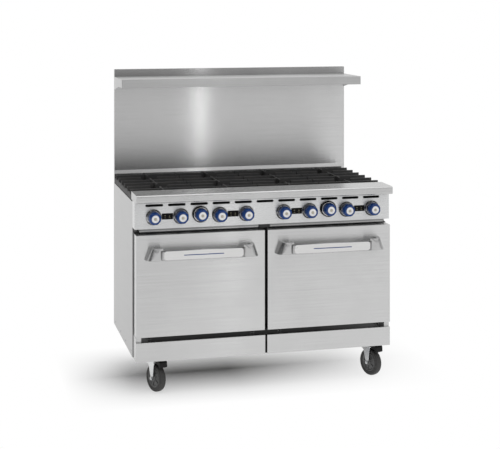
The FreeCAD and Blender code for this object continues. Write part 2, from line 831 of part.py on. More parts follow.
def door(oven, low, high):
    """An outer shell with its two hinge lugs, an inner panel with a raised plug, and the handle."""
    centre = OVENS[oven]
    shell = block(f"shell_{oven}", (low, high), ("door_front", "door_back"), ("door_bottom", "door_top"))
    hollow = block(
        f"shell_hollow_{oven}",
        (f"{low} + sheet_gauge", f"{high} - sheet_gauge"),
        ("door_front + sheet_gauge", "door_back + 1"),
        ("door_bottom + sheet_gauge", "door_top - sheet_gauge"),
    )
    lugs = []
    bores = []
    for side in (-1, 1):
        start = f"{centre} + {side} * lug_offset - lug_half"
        pivot = (start, "hinge_depth", "hinge_height")
        across = (start, f"{start} + 2 * lug_half")
        lugs.append(rod(f"lug_{oven}_{side + 1}", pivot, "ear_radius", "2 * lug_half", "x"))
        deep = ("hinge_depth - ear_radius", "hinge_depth + ear_radius")
        lugs.append(block(f"lug_web_{oven}_{side + 1}", across, deep, ("hinge_height", "door_bottom + 1")))
        bore_start = (f"{start} - 1", "hinge_depth", "hinge_height")
        bore = rod(f"lug_bore_{oven}_{side + 1}", bore_start, "pin_bore", "2 * lug_half + 2", "x")
        bores.append(bore)
    tray = join(f"shell_lugs_{oven}", cut(f"shell_tray_{oven}", shell, hollow), *lugs)
    node(f"door_shell_{oven}", cut(f"shell_done_{oven}", tray, *bores))

    sheet_x = (f"{low} + sheet_gauge + gap", f"{high} - sheet_gauge - gap")
    sheet_z = ("door_bottom + sheet_gauge + gap", "door_top - sheet_gauge - gap")
    inner_sheet = block(f"inner_sheet_{oven}", sheet_x, ("door_back - 3", "door_back - 1.5"), sheet_z)
    plug_z = ("oven_bottom + 12", "oven_top - 14")
    plug_x = (f"{centre} - plug_half", f"{centre} + plug_half")
    plug = block(f"plug_{oven}", plug_x, ("door_back - 3", "door_back + 10"), plug_z)
    hollow_z = ("oven_bottom + 14", "oven_top - 16")
    hollow_x = (f"{centre} - plug_half + 2", f"{centre} + plug_half - 2")
    plug_hollow = block(f"plug_hollow_{oven}", hollow_x, ("door_back - 4", "door_back + 8"), hollow_z)
    joined = join(f"inner_joined_{oven}", inner_sheet, plug)
    node(f"door_inner_{oven}", cut(f"inner_done_{oven}", joined, plug_hollow))
    door_handle(oven, centre)


def door_handle(oven, centre):
    """A flat rounded grip between two end brackets that splay out to the door."""
    grip_block = block(
        f"grip_block_{oven}",
        (f"{centre} - grip_half", f"{centre} + grip_half"),
        ("grip_front", "grip_front + 13"),
        ("grip_bottom", "grip_top"),
    )
    grip = round_edges(f"grip_{oven}", grip_block, "5", lambda p, d: abs(d.x) > 0.9)
    brackets = []
    for side in (-1, 1):
        name = f"handle_bracket_{oven}_{side + 1}"
        foot = f"{side} * bracket_half"
        outline = [
            (foot, "door_front - 0.2"),
            (f"{side} * (bracket_half - 24)", "grip_front + 3"),
            (f"{side} * (bracket_half - 40)", "grip_front"),
            (f"{side} * (grip_half + 0.2)", "grip_front"),
            (f"{side} * (grip_half + 0.2)", "grip_front + 13"),
            (f"{side} * (bracket_half - 42)", "grip_front + 14"),
            (f"{side} * (bracket_half - 26)", "door_front - 0.2"),
        ]
        start = (centre, "0", "bracket_bottom")
        arm = extrusion(name, "XY_Plane", outline, "bracket_top - bracket_bottom", start)
        slant = extrusion(
            f"{name}_slant",
            "XZ_Plane",
            [
                (f"{side} * (bracket_half + 1)", "bracket_bottom"),
                (f"{side} * (bracket_half + 1)", "bracket_top + 1"),
                (f"{side} * (bracket_half - 20)", "bracket_top + 1"),
            ],
            "100",
            (centre, "door_front + 10", "0"),
        )
        brackets.append(cut(f"{name}_cut", arm, slant))
    node(f"door_handle_{oven}", gather(f"handle_group_{oven}", grip, *brackets))


def crumb_tray(oven, side):
    """A shallow pan that slides out over the oven, with a lip to pull it by."""
    edges = sorted((f"{side} * 27", f"{side} * (half_width - 24)"), key=amount)
    lip_edges = sorted((f"{side} * 28", f"{side} * (half_width - 26)"), key=amount)
    pan = block(f"pan_{oven}", edges, ("panel_front + 21", "rear_sheet - 40"), ("tray_bottom", "tray_top"))
    hollow = block(
        f"pan_hollow_{oven}",
        (f"{edges[0]} + sheet_gauge", f"{edges[1]} - sheet_gauge"),
        ("panel_front + 22.5", "rear_sheet - 41.5"),
        ("tray_bottom + sheet_gauge", "tray_top + 1"),
    )
    lip_y = ("panel_front + 16", "panel_front + 21.5")
    lip = block(f"pan_lip_{oven}", lip_edges, lip_y, ("tray_bottom + 3", "tray_top + 0.5"))
    node(f"crumb_tray_{oven}", join(f"tray_{oven}", cut(f"pan_cut_{oven}", pan, hollow), lip))


# ---- grates ----


def grate(name, centre, deep):
    """A cast grate: a low square frame, a plate open over the burner, cross bars and a broken centre line."""
    half = "(burner_pitch / 2 - 1.5)"
    across = (f"{centre} - {half}", f"{centre} + {half}")
    along = (f"{deep} - {half}", f"{deep} + {half}")
    low, level, top = "grate_bottom", "bar_bottom", "grate_top"
    frame = cut(
        f"grate_frame_{name}",
        block(f"grate_square_{name}", across, along, (low, f"{level} + 2")),
        block(
            f"grate_square_void_{name}",
            (f"{across[0]} + 10", f"{across[1]} - 10"),
            (f"{along[0]} + 10", f"{along[1]} - 10"),
            (f"{low} - 1", f"{level} + 3"),
        ),
    )
    inset_x = (f"{across[0]} + 5", f"{across[1]} - 5")
    inset_y = (f"{along[0]} + 5", f"{along[1]} - 5")
    through = (f"{level} - 40", f"{level} + 5")
    slot_x = (f"{centre} - flame_slot_half", f"{centre} + flame_slot_half")
    slot_y = (f"{deep} - flame_slot_reach", f"{deep} + flame_slot_reach")
    plate = cut(
        f"grate_plate_{name}",
        block(f"grate_sheet_{name}", inset_x, inset_y, (f"{level} - 8", f"{level} - 3")),
        rod(f"grate_mouth_{name}", (centre, deep, f"{level} - 40"), "flame_radius", "45", "z"),
        block(f"grate_slot_{name}", slot_x, slot_y, through),
    )
    pieces = [frame, plate]
    for i in (-1, 1):
        middle = f"{deep} + {i} * burner_pitch / 3"
        bar_y = (f"{middle} - bar_half", f"{middle} + bar_half")
        pieces.append(block(f"grate_bar_{name}_{i + 1}", across, bar_y, (f"{level} - 5", top)))
    for side in (-1, 1):
        reach = sorted((f"{centre} + {side} * finger_start", f"{centre} + {side} * {half}"), key=amount)
        finger_y = (f"{deep} - bar_half", f"{deep} + bar_half")
        pieces.append(block(f"grate_finger_{name}_{side + 1}", reach, finger_y, (f"{level} - 5", top)))
        reach = sorted((f"{deep} + {side} * finger_start", f"{deep} + {side} * {half}"), key=amount)
        rib_x = (f"{centre} - bar_half - 0.5", f"{centre} + bar_half + 0.5")
        pieces.append(block(f"grate_rib_{name}_{side + 1}", rib_x, reach, (level, top)))
    node(f"grate_{name}", join(f"grate_joined_{name}", *pieces))


# ---- knobs ----


def knob(label, name, across, height, skirt):
    """A knob turned about its spindle, its rim scalloped, with a flat dial skirt behind a thermostat's."""
    back = "knob_start"
    bore, bore_end = "stem_radius + running_gap", "knob_start + 19"
    profile = [(bore, back)]
    if skirt:
        profile += [("dial_radius", back), ("dial_radius", f"{back} + 5"), ("knob_radius", f"{back} + 7")]
    else:
        profile += [("knob_radius", back)]
    profile += [
        ("knob_radius", "knob_reach - 12"),
        ("knob_radius - 5", "knob_reach - 4"),
        ("knob_cap", "knob_reach"),
        ("0", "knob_reach"),
        ("0", bore_end),
        (bore, bore_end),
    ]
    profile = [(radius, f"-({along})") for radius, along in profile]
    body = turned(name, profile, (across, "panel_front", height))
    doc.recompute()
    before = body.Shape.Volume
    flute = body.newObject("Sketcher::SketchObject", name + "_flute")
    plane = [f for f in body.Origin.OriginFeatures if f.Role == "XZ_Plane"][0]
    flute.AttachmentSupport = [(plane, "")]
    flute.MapMode = "FlatFace"
    middle = amount("knob_radius + flute_radius - 2")
    flute.addGeometry(Part.Circle(FreeCAD.Vector(0, middle, 0), AXES["z"], amount("flute_radius")), False)
    flute.addConstraint(Sketcher.Constraint("PointOnObject", 0, 3, -2))
    for kind, entries, value, text in (
        ("DistanceY", (-1, 1, 0, 3), middle, "knob_radius + flute_radius - 2"),
        ("Radius", (0,), amount("flute_radius"), "flute_radius"),
    ):
        tie = flute.addConstraint(Sketcher.Constraint(kind, *entries, value))
        flute.setExpression(f"Constraints[{tie}]", named(text))
    pocket = body.newObject("PartDesign::Pocket", name + "_pocket")
    pocket.Profile = flute
    pocket.Reversed = True
    bind(pocket, Length="knob_reach + 5")
    if skirt:
        clear_of_skirt = FreeCAD.Vector(0, 0, amount("knob_start + 7"))
        flute.AttachmentOffset = FreeCAD.Placement(clear_of_skirt, FreeCAD.Rotation())
    pattern = body.newObject("PartDesign::PolarPattern", name + "_flutes")
    pattern.Originals = [pocket]
    pattern.Axis = ([f for f in body.Origin.OriginFeatures if f.Role == "Y_Axis"][0], [""])
    pattern.Angle = 360
    pattern.Occurrences = 8
    body.Tip = pattern
    doc.recompute()
    assert body.Shape.Volume < before - 100, f"{name}: the scallops cut nothing"
    node(label, body)


def control_bezels():
    """A chrome ring on the panel behind each burner knob."""
    rings = []
    for name, across in BURNER_KNOBS.items():
        profile = [
            ("11", "-0.1"),
            ("bezel_radius", "-0.1"),
            ("bezel_radius", "-3"),
            ("bezel_radius - 4", "-bezel_depth"),
            ("11", "-bezel_depth"),
        ]
        rings.append(turned(f"bezel_{name}", profile, (across, "panel_front", "knob_height")))
    node("control_bezels", gather("bezel_group", *rings))


def label_plates():
    """Four plain plates between the knobs of each pair."""
    plates = []
    for i, centre in enumerate(("-pair_outer", "-pair_inner", "pair_inner", "pair_outer")):
        across = (f"{centre} - label_half", f"{centre} + label_half")
        deep = ("panel_front - 1.1", "panel_front - 0.1")
        plates.append(block(f"label_{i}", across, deep, ("knob_height - 12", "knob_height + 16")))
    node("label_plates", gather("label_group", *plates))


# ---- casters ----


def caster_plates():
    """The four fixed top plates, each with its raceway and kingpin."""
    plates = []
    for corner, (across, deep) in CASTERS.items():
        top = "base_bottom"
        plate = block(
            f"plate_{corner}",
            (f"{across} - plate_half", f"{across} + plate_half"),
            (f"{deep} - plate_half", f"{deep} + plate_half"),
            (f"{top} - plate_gauge", top),
        )
        race = rod(f"race_{corner}", (across, deep, "fork_top + 0.5"), "25", f"{top} - fork_top - 2.5", "z")
        kingpin = rod(f"kingpin_{corner}", (across, deep, "fork_top - 8"), "kingpin_radius", "15", "z")
        nut = rod(f"kingpin_nut_{corner}", (across, deep, "fork_top - 10"), "9", "4.5", "z")
        plates.append(join(f"caster_top_{corner}", plate, race, kingpin, nut))
    node("caster_plates", gather("plate_group", *plates))


def caster_bolts():
    """Four hex-headed bolts under each caster plate."""
    bolts = []
    for corner, (across, deep) in CASTERS.items():
        for i, (sx, sy) in enumerate(((-1, -1), (1, -1), (-1, 1), (1, 1))):
            head = doc.addObject("Part::Prism", f"bolt_{corner}_{i}")
            head.Polygon = 6
            bind(head, Circumradius="7", Height="4.8")
            middle = (f"{across} + {sx} * bolt_offset", f"{deep} + {sy} * bolt_offset")
            put(head, *middle, "base_bottom - plate_gauge - 5")
            bolts.append(head)
    node("caster_bolts", gather("bolt_group", *bolts))


def swivelled(thing, corner):
    """Sets a piece built about the kingpin, trailing towards -Y, at its caster with the toe angle."""
    across, deep = CASTERS[corner]
    put(thing, across, deep, "0", turn=("z", SIZES["caster_toe"]))
    return thing


def caster_fork(corner):
    """The swivelling yoke with its axle, and the pedal's pin on a front caster."""
    disc = cut(
        f"fork_disc_{corner}",
        rod(f"fork_round_{corner}", ("0", "0", "fork_top - 5"), "29", "5", "z"),
        rod(f"fork_eye_{corner}", ("0", "0", "fork_top - 6"), "kingpin_radius + running_gap", "7", "z"),
    )
    legs = []
    leg_outline = [
        ("18", "fork_top"),
        ("-17", "fork_top"),
        ("-38", "145"),
        ("-54", "145"),
        ("-54", "126"),
        ("-caster_trail - 10", "wheel_radius + 2"),
        ("-caster_trail", "wheel_radius - 13"),
        ("-caster_trail + 11", "wheel_radius + 2"),
        ("-12", "118"),
        ("18", "fork_top - 5"),
    ]
    for side in (-1, 1):
        start = "fork_inner" if side == 1 else "-fork_inner - fork_gauge"
        at = (start, "0", "0")
        legs.append(extrusion(f"fork_leg_{corner}_{side + 1}", "YZ_Plane", leg_outline, "fork_gauge", at))
    axle_start = ("-fork_inner - fork_gauge - 5", "-caster_trail", "wheel_radius")
    axle = rod(f"axle_{corner}", axle_start, "axle_radius", "2 * (fork_inner + fork_gauge + 5)", "x")
    pieces = [disc, *legs, axle]
    if corner.startswith("front"):
        pin_start = ("-fork_inner - fork_gauge", "-pedal_pin_back", "pedal_pin_height")
        pin_length = "2 * (fork_inner + fork_gauge)"
        pieces.append(rod(f"pedal_pin_{corner}", pin_start, "small_pin", pin_length, "x"))
    node(f"caster_fork_{corner}", swivelled(join(f"fork_{corner}", *pieces), corner))


def caster_wheel(corner):
    """A rubber tyre on a hub that runs on the fork's axle."""
    tyre = turned(
        f"tyre_{corner}",
        [
            ("hub_radius", "-wheel_half + 1"),
            ("wheel_radius - 7", "-wheel_half"),
            ("wheel_radius - 2", "-wheel_half + 4"),
            ("wheel_radius", "-wheel_half + 9"),
            ("wheel_radius", "wheel_half - 9"),
            ("wheel_radius - 2", "wheel_half - 4"),
            ("wheel_radius - 7", "wheel_half"),
            ("hub_radius", "wheel_half - 1"),
        ],
        ("0", "0", "0"),
    )
    hub = turned(
        f"hub_{corner}",
        [
            ("axle_radius + running_gap", "-19"),
            ("14", "-19"),
            ("15", "-9"),
            ("hub_radius - 7", "-8"),
            ("hub_radius - 5", "-wheel_half + 2"),
            ("hub_radius - 0.05", "-wheel_half + 2"),
            ("hub_radius - 0.05", "wheel_half - 2"),
            ("hub_radius - 5", "wheel_half - 2"),
            ("hub_radius - 7", "8"),
            ("15", "9"),
            ("14", "19"),
            ("axle_radius + running_gap", "19"),
        ],
        ("0", "0", "0"),
    )
    wheel = gather(f"wheel_about_y_{corner}", tyre, hub)
    put(wheel, "0", "-caster_trail", "wheel_radius", turn=("z", 90))
    node(f"caster_wheel_{corner}", swivelled(gather(f"wheel_{corner}", wheel), corner))


def brake_pedal(corner):
    """The pedal over the wheel's trailing side, which presses down towards the tyre."""
    outline = [
        ("-38", "145"),
        ("-92", "145"),
        ("-100", "138"),
        ("-100", "114"),
        ("-94", "113"),
        ("-86", "125"),
        ("-60", "132"),
        ("-38", "134"),
    ]
    start = ("-fork_inner + 1", "0", "0")
    block_body = extrusion(f"pedal_block_{corner}", "YZ_Plane", outline, "2 * (fork_inner - 1)", start)
    bore_start = ("-fork_inner", "-pedal_pin_back", "pedal_pin_height")
    bore = rod(f"pedal_bore_{corner}", bore_start, "pin_bore", "2 * fork_inner", "x")
    node(f"brake_pedal_{corner}", swivelled(cut(f"pedal_{corner}", block_body, bore), corner))


# ---- the whole range ----

base_frame()
side_panels()
rear_panel()
front_frame()
kick_plates()
control_panel()
landing_ledge()
top_frame()
backguard()
high_shelf()
gas_manifold()
gas_valves()
top_burners()
pilot_burners()
oven_liners()
oven_floors()
oven_burners()
oven_racks()
oven_insulation()
door("left", "-door_outer", "-door_inner")
door("right", "door_inner", "door_outer")
crumb_tray("left", -1)
crumb_tray("right", 1)
for column, centre in COLUMNS.items():
    for row, deep in ROWS.items():
        grate(f"{column}_{row}", centre, deep)
for name, across in BURNER_KNOBS.items():
    knob(f"burner_knob_{name}", f"knob_{name}", across, "knob_height", False)
for name, side in (("left", -1), ("right", 1)):
    middle = f"{side} * thermostat_across"
    knob(f"thermostat_knob_{name}", f"thermostat_{name}", middle, "thermostat_height", True)
control_bezels()
label_plates()
caster_plates()
caster_bolts()
for corner in CASTERS:
    caster_fork(corner)
    caster_wheel(corner)
    if corner.startswith("front"):
        brake_pedal(corner)

doc.recompute()
for thing in doc.Objects:
    bad = [word for word in ("Invalid", "Error") if word in thing.State]
    if bad:
        raise RuntimeError(f"{thing.Label}: {bad}")
for thing in nodes:
    if thing.Shape.isNull() or not thing.Shape.isValid() or not thing.Shape.Solids:
        raise RuntimeError(f"{thing.Label}: the shape is empty or not valid")

os.makedirs("parts", exist_ok=True)
for thing in nodes:
    thing.Shape.exportStep(f"parts/{thing.Label}.step")
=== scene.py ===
import json
import math

import bmesh
import bpy
from mathutils import Matrix, Vector

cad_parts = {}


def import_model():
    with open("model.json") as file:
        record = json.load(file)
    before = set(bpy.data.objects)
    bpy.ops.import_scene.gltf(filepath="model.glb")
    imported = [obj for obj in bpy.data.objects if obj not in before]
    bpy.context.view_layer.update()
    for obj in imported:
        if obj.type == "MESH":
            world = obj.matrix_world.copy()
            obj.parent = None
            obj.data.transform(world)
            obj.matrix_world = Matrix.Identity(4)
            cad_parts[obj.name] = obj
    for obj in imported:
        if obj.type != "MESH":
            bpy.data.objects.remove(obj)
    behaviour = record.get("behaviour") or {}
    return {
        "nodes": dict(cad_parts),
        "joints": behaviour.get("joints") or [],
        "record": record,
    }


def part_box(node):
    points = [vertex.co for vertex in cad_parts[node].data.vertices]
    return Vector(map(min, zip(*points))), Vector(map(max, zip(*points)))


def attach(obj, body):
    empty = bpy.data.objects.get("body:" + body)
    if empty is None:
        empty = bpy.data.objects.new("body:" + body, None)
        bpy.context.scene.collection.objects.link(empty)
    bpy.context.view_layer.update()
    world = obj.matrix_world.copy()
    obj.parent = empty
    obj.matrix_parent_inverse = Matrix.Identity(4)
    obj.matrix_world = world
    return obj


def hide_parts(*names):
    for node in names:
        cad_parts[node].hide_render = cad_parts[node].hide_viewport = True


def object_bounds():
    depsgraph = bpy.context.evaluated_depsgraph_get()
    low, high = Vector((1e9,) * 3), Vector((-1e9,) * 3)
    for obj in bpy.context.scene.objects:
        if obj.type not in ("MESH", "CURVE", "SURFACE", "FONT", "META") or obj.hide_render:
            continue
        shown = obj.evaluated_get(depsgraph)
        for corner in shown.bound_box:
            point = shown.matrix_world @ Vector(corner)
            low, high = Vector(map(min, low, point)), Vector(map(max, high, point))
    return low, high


# The looks of a restaurant gas range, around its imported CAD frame. Metres, in the CAD's own frame:
# +X the cook's right, +Y the wall side, +Z up. Every place comes from the frame's nodes and joints.

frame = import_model()
cad_low, cad_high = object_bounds()

NODES = frame["nodes"]
JOINTS = {joint["name"]: joint for joint in frame["joints"]}
BODY_OF = {node: body for body, nodes in frame["record"]["behaviour"]["bodies"].items() for node in nodes}
COLUMNS = ("far_left", "left", "right", "far_right")
BURNERS = [f"{column}_{row}" for column in COLUMNS for row in ("front", "rear")]
CASTERS = ("front_left", "front_right", "rear_left", "rear_right")
MM = 0.001


# ---- node materials ----


def add_node(tree, kind, inputs=None, **settings):
    """A new shader node. Each input is given a value, or the socket that feeds it."""
    made = tree.nodes.new("ShaderNode" + kind)
    for key, value in settings.items():
        setattr(made, key, value)
    for key, value in (inputs or {}).items():
        if isinstance(value, bpy.types.NodeSocket):
            tree.links.new(value, made.inputs[key])
        else:
            made.inputs[key].default_value = value
    return made


class Surface:
    """A node material under construction. Patterns use object coordinates: metres in the row frame."""

    def __init__(self, name):
        self.material = bpy.data.materials.new(name)
        self.material.use_nodes = True
        self.tree = self.material.node_tree
        self.tree.nodes.clear()
        coordinates = self.add("TexCoord")
        self.place = coordinates.outputs["Object"]
        self.normal = coordinates.outputs["Normal"]

    def add(self, kind, inputs=None, **settings):
        return add_node(self.tree, kind, inputs, **settings)

    def scaled(self, x, y, z):
        return self.add("VectorMath", {0: self.place, 1: (x, y, z)}, operation="MULTIPLY").outputs[0]

    def noise(self, scale, detail=3.0, place=None, rough=0.5):
        inputs = {"Vector": place or self.place, "Scale": scale, "Detail": detail, "Roughness": rough}
        return self.add("TexNoise", inputs).outputs[0]

    def cells(self, scale, output="Color", **settings):
        return self.add("TexVoronoi", {"Vector": self.place, "Scale": scale}, **settings).outputs[output]

    def sum(self, operation, first, second):
        return self.add("Math", {0: first, 1: second}, operation=operation).outputs[0]

    def span(self, factor, low, high, start=0.25, end=0.75):
        """Maps factor from start..end to low..high."""
        return self.add("MapRange", {0: factor, 1: start, 2: end, 3: low, 4: high}).outputs[0]

    def shade(self, factor, first, second):
        """A colour between two, by factor."""
        made = self.add("Mix", {0: factor, 6: (*first, 1), 7: (*second, 1)}, data_type="RGBA")
        return made.outputs[2]

    def tint(self, colour, factor, amount, operation="MULTIPLY"):
        made = self.add("Mix", {0: amount, 6: colour, 7: factor}, data_type="RGBA", blend_type=operation)
        return made.outputs[2]

    def bump(self, height, strength, distance, under=None):
        inputs = {"Height": height, "Strength": strength, "Distance": distance}
        if under:
            inputs["Normal"] = under
        return self.add("Bump", inputs).outputs[0]

    def edges(self, low=0.5, high=0.56):
        """1 on convex edges, from the mesh's pointiness."""
        point = self.add("NewGeometry").outputs["Pointiness"]
        return self.span(point, 0.0, 1.0, low, high)

    def finish(self, **inputs):
        wired = {key.replace("_", " "): value for key, value in inputs.items()}
        shader = self.add("BsdfPrincipled", wired)
        self.add("OutputMaterial", {"Surface": shader.outputs[0]})
        return self.material


def grey(value, warm=0.0):
    return (value * (1 + warm), value, value * (1 - warm))


def skin(node):
    """The heights between which a node's foremost face lies."""
    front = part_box(node)[0].y + 0.5 * MM
    heights = [v.co.z for v in NODES[node].data.vertices if v.co.y < front]
    return min(heights), max(heights)


def brushed_steel(name, light, dark, rough=0.22, stretch=1.0, warm=0.0, shade_band=None, share=0.58):
    """Sheet steel with a level brushed grain. Its reflections smear across the grain, so lamps turn into
    upright streaks. Faces that look sideways are a little darker: painted shade. Between the two given
    heights the front is darker, by share: painted shade, for a band in the shade of a shelf, a lip or a door."""
    s = Surface(name)
    facing_up = s.add("SeparateXYZ", {0: s.normal}).outputs[2]
    level = s.sum("GREATER_THAN", s.sum("ABSOLUTE", facing_up, 0.0), 0.7)
    fine_wall = s.noise(1.0, 3.0, s.scaled(9, 9, 900))
    fine_top = s.noise(1.0, 3.0, s.scaled(9, 900, 9))
    upright = s.sum("SUBTRACT", 1.0, level)
    fine = s.sum("ADD", s.sum("MULTIPLY", fine_wall, upright), s.sum("MULTIPLY", fine_top, level))
    bands = s.noise(1.0, 4.0, s.scaled(2.5, 2.5, 240))
    smudge = s.noise(5.0, 5.0, None, 0.6)
    across = s.add("VectorMath", {0: s.normal, 1: (0, 0.04, 1)}, operation="CROSS_PRODUCT").outputs[0]
    to_world = {"vector_type": "VECTOR", "convert_from": "OBJECT", "convert_to": "WORLD"}
    along = s.add("VectorTransform", {0: across}, **to_world)
    tangent = s.add("VectorMath", {0: along.outputs[0]}, operation="NORMALIZE").outputs[0]
    colour = s.shade(s.span(bands, 0, 1, 0.3, 0.7), grey(dark, warm), grey(light, warm))
    colour = s.tint(colour, s.shade(s.span(fine, 0, 1), grey(0.8), grey(1.0)), 0.2)
    colour = s.tint(colour, s.shade(s.span(smudge, 0, 1, 0.35, 0.6), grey(0.9), grey(1.0)), 0.5)
    # painted shade: faces that look sideways get 0.72 of the colour
    side_shade_mask = s.sum("GREATER_THAN", s.sum("ABSOLUTE", s.add("SeparateXYZ", {0: s.normal}).outputs[0], 0.0), 0.7)
    colour = s.tint(colour, s.shade(side_shade_mask, grey(1.0), grey(0.72)), 1.0)
    # painted shade: between the two heights the front faces are darkened by share
    if shade_band:
        height = s.add("SeparateXYZ", {0: s.place}).outputs[2]
        above = s.span(height, 0.0, 1.0, shade_band[0] - 1 * MM, shade_band[0])
        below = s.span(height, 1.0, 0.0, shade_band[1], shade_band[1] + 1 * MM)
        front = s.sum("LESS_THAN", s.add("SeparateXYZ", {0: s.normal}).outputs[1], -0.5)
        shaded = s.sum("MULTIPLY", s.sum("MULTIPLY", above, below), front)
        colour = s.tint(colour, s.shade(shaded, grey(1.0), grey(share)), 1.0)
    roughness = s.sum("ADD", s.span(fine, rough - 0.02, rough + 0.03), s.span(smudge, -0.01, 0.02))
    normal = s.bump(fine, 0.05, 0.1 * MM)
    return s.finish(
        Base_Color=colour, Metallic=1.0, Roughness=roughness, Anisotropic=stretch, Anisotropic_Rotation=0.25,
        Tangent=tangent, Normal=normal,
    )


def galvanised():
    """Zinc-coated sheet, with its frost-like spangle."""
    s = Surface("galvanised_sheet")
    spangle = s.cells(55.0)
    cell = s.add("SeparateColor", {0: spangle}).outputs[0]
    cloud = s.noise(9.0, 4.0)
    colour = s.shade(cell, (0.44, 0.46, 0.48), (0.62, 0.64, 0.66))
    colour = s.tint(colour, s.shade(s.span(cloud, 0, 1), grey(0.82), grey(1.0)), 0.6)
    roughness = s.sum("ADD", s.span(cell, 0.34, 0.5, 0, 1), s.span(cloud, -0.03, 0.05))
    return s.finish(Base_Color=colour, Metallic=0.9, Roughness=roughness, Normal=s.bump(cell, 0.12, 0.1 * MM))


def black_enamel():
    """Baked black enamel with a slight orange peel, dusty patches and rubbed edges. On the base frame, the
    front frame and the toe-gap sheet its black is painted shade, to keep the gaps round and under the doors
    dark.
    """
    s = Surface("black_enamel")
    peel = s.noise(420.0, 2.0)
    dust = s.noise(14.0, 5.0)
    colour = s.shade(s.span(dust, 0, 1, 0.35, 0.7), grey(0.007), grey(0.018))
    colour = s.tint(colour, s.shade(s.edges(), grey(0.0), grey(0.06)), 1.0, "ADD")
    return s.finish(
        Base_Color=colour, Roughness=s.span(dust, 0.35, 0.55), Coat_Weight=0.1, Coat_Roughness=0.25,
        Specular_IOR_Level=0.2, Normal=s.bump(peel, 0.12, 0.15 * MM),
    )


def oven_enamel():
    """Blue-black porcelain enamel with pale specks."""
    s = Surface("oven_enamel")
    specks = s.cells(330.0, "Distance")
    speck = s.span(specks, 1, 0, 0.08, 0.2)
    pick = s.add("SeparateColor", {0: s.cells(330.0)}).outputs[1]
    chosen = s.sum("MULTIPLY", speck, s.span(pick, 0, 1, 0.7, 0.75))
    grime = s.noise(8.0, 5.0)
    colour = s.shade(chosen, (0.022, 0.026, 0.036), (0.42, 0.44, 0.48))
    colour = s.tint(colour, s.shade(s.span(grime, 0, 1), (0.75, 0.66, 0.55), grey(1.0)), 0.5)
    return s.finish(
        Base_Color=colour, Roughness=s.span(grime, 0.16, 0.3), Coat_Weight=0.5, Coat_Roughness=0.1,
        Normal=s.bump(s.noise(260.0, 2.0), 0.08, 0.1 * MM),
    )


def cast_iron():
    """Sand-cast iron: a dark, grainy skin, a touch of brown, and worn, lighter edges."""
    s = Surface("cast_iron")
    sand = s.noise(650.0, 4.0, None, 0.6)
    lumps = s.noise(85.0, 3.0)
    stain = s.noise(17.0, 5.0, None, 0.6)
    colour = s.shade(s.span(stain, 0, 1, 0.35, 0.65), (0.02, 0.02, 0.022), (0.036, 0.034, 0.032))
    colour = s.tint(colour, s.shade(s.edges(0.5, 0.6), grey(0.0), grey(0.035)), 1.0, "ADD")
    under = s.bump(lumps, 0.2, 0.5 * MM)
    return s.finish(
        Base_Color=colour, Metallic=0.25, Roughness=s.span(sand, 0.5, 0.72),
        Normal=s.bump(sand, 0.35, 0.25 * MM, under),
    )


def chrome(name="chrome_plate", value=0.82, rough=0.09):
    s = Surface(name)
    haze = s.noise(30.0, 4.0)
    scratch = s.noise(1.0, 2.0, s.scaled(60, 60, 1500))
    colour = s.shade(s.span(haze, 0, 1), grey(value * 0.93), grey(value))
    roughness = s.sum("ADD", s.span(haze, rough, rough + 0.05), s.span(scratch, 0, 0.03))
    return s.finish(
        Base_Color=colour, Metallic=1.0, Roughness=roughness, Normal=s.bump(scratch, 0.03, 0.05 * MM)
    )


def satin_plate():
    """The pale brushed plate let into a door handle's grip."""
    s = Surface("satin_plate")
    grain = s.noise(1.0, 3.0, s.scaled(12, 12, 1200))
    haze = s.noise(22.0, 4.0)
    colour = s.shade(s.span(grain, 0, 1), grey(0.66, 0.005), grey(0.74, 0.005))
    return s.finish(
        Base_Color=colour, Metallic=0.6, Roughness=s.span(haze, 0.26, 0.36),
        Normal=s.bump(grain, 0.05, 0.05 * MM),
    )


def plastic(name, dark, light, rough=0.22, coat=0.5, gleam=0.5):
    """Moulded plastic with a fine skin and faint handling marks."""
    s = Surface(name)
    skin = s.noise(900.0, 2.0)
    marks = s.noise(70.0, 4.0, None, 0.6)
    colour = s.shade(s.span(marks, 0, 1), dark, light)
    return s.finish(
        Base_Color=colour, Roughness=s.span(marks, rough, rough + 0.1), Coat_Weight=coat, Coat_Roughness=0.08,
        Specular_IOR_Level=gleam, Normal=s.bump(skin, 0.06, 0.05 * MM),
    )


def brass():
    s = Surface("brass")
    cloud = s.noise(60.0, 4.0)
    colour = s.shade(s.span(cloud, 0, 1), (0.42, 0.27, 0.09), (0.72, 0.52, 0.24))
    return s.finish(
        Base_Color=colour, Metallic=1.0, Roughness=s.span(cloud, 0.2, 0.4),
        Normal=s.bump(s.noise(500.0), 0.1, 0.1 * MM),
    )


def pipe_black():
    s = Surface("black_pipe")
    mill = s.noise(120.0, 4.0, None, 0.7)
    rust = s.noise(24.0, 5.0)
    colour = s.shade(s.span(rust, 0, 1, 0.45, 0.8), (0.03, 0.03, 0.033), (0.1, 0.05, 0.03))
    return s.finish(
        Base_Color=colour, Metallic=0.3, Roughness=s.span(mill, 0.4, 0.65), Normal=s.bump(mill, 0.2, 0.2 * MM)
    )


def mineral_wool():
    s = Surface("mineral_wool")
    fibres = s.noise(1.0, 5.0, s.scaled(300, 60, 700), 0.7)
    tufts = s.noise(40.0, 5.0, None, 0.6)
    colour = s.shade(s.span(fibres, 0, 1), (0.38, 0.32, 0.16), (0.72, 0.66, 0.4))
    return s.finish(
        Base_Color=colour, Roughness=0.95, Sheen_Weight=0.3,
        Normal=s.bump(s.sum("ADD", fibres, tufts), 0.8, 2 * MM),
    )


def zinc():
    """Bright zinc plating on stamped steel."""
    s = Surface("zinc_plate")
    cloud = s.noise(45.0, 4.0)
    tone = s.noise(13.0, 3.0)
    colour = s.shade(s.span(tone, 0, 1), (0.6, 0.62, 0.66), (0.74, 0.74, 0.72))
    return s.finish(
        Base_Color=colour, Metallic=1.0, Roughness=s.span(cloud, 0.2, 0.36),
        Normal=s.bump(s.noise(350.0), 0.1, 0.1 * MM),
    )


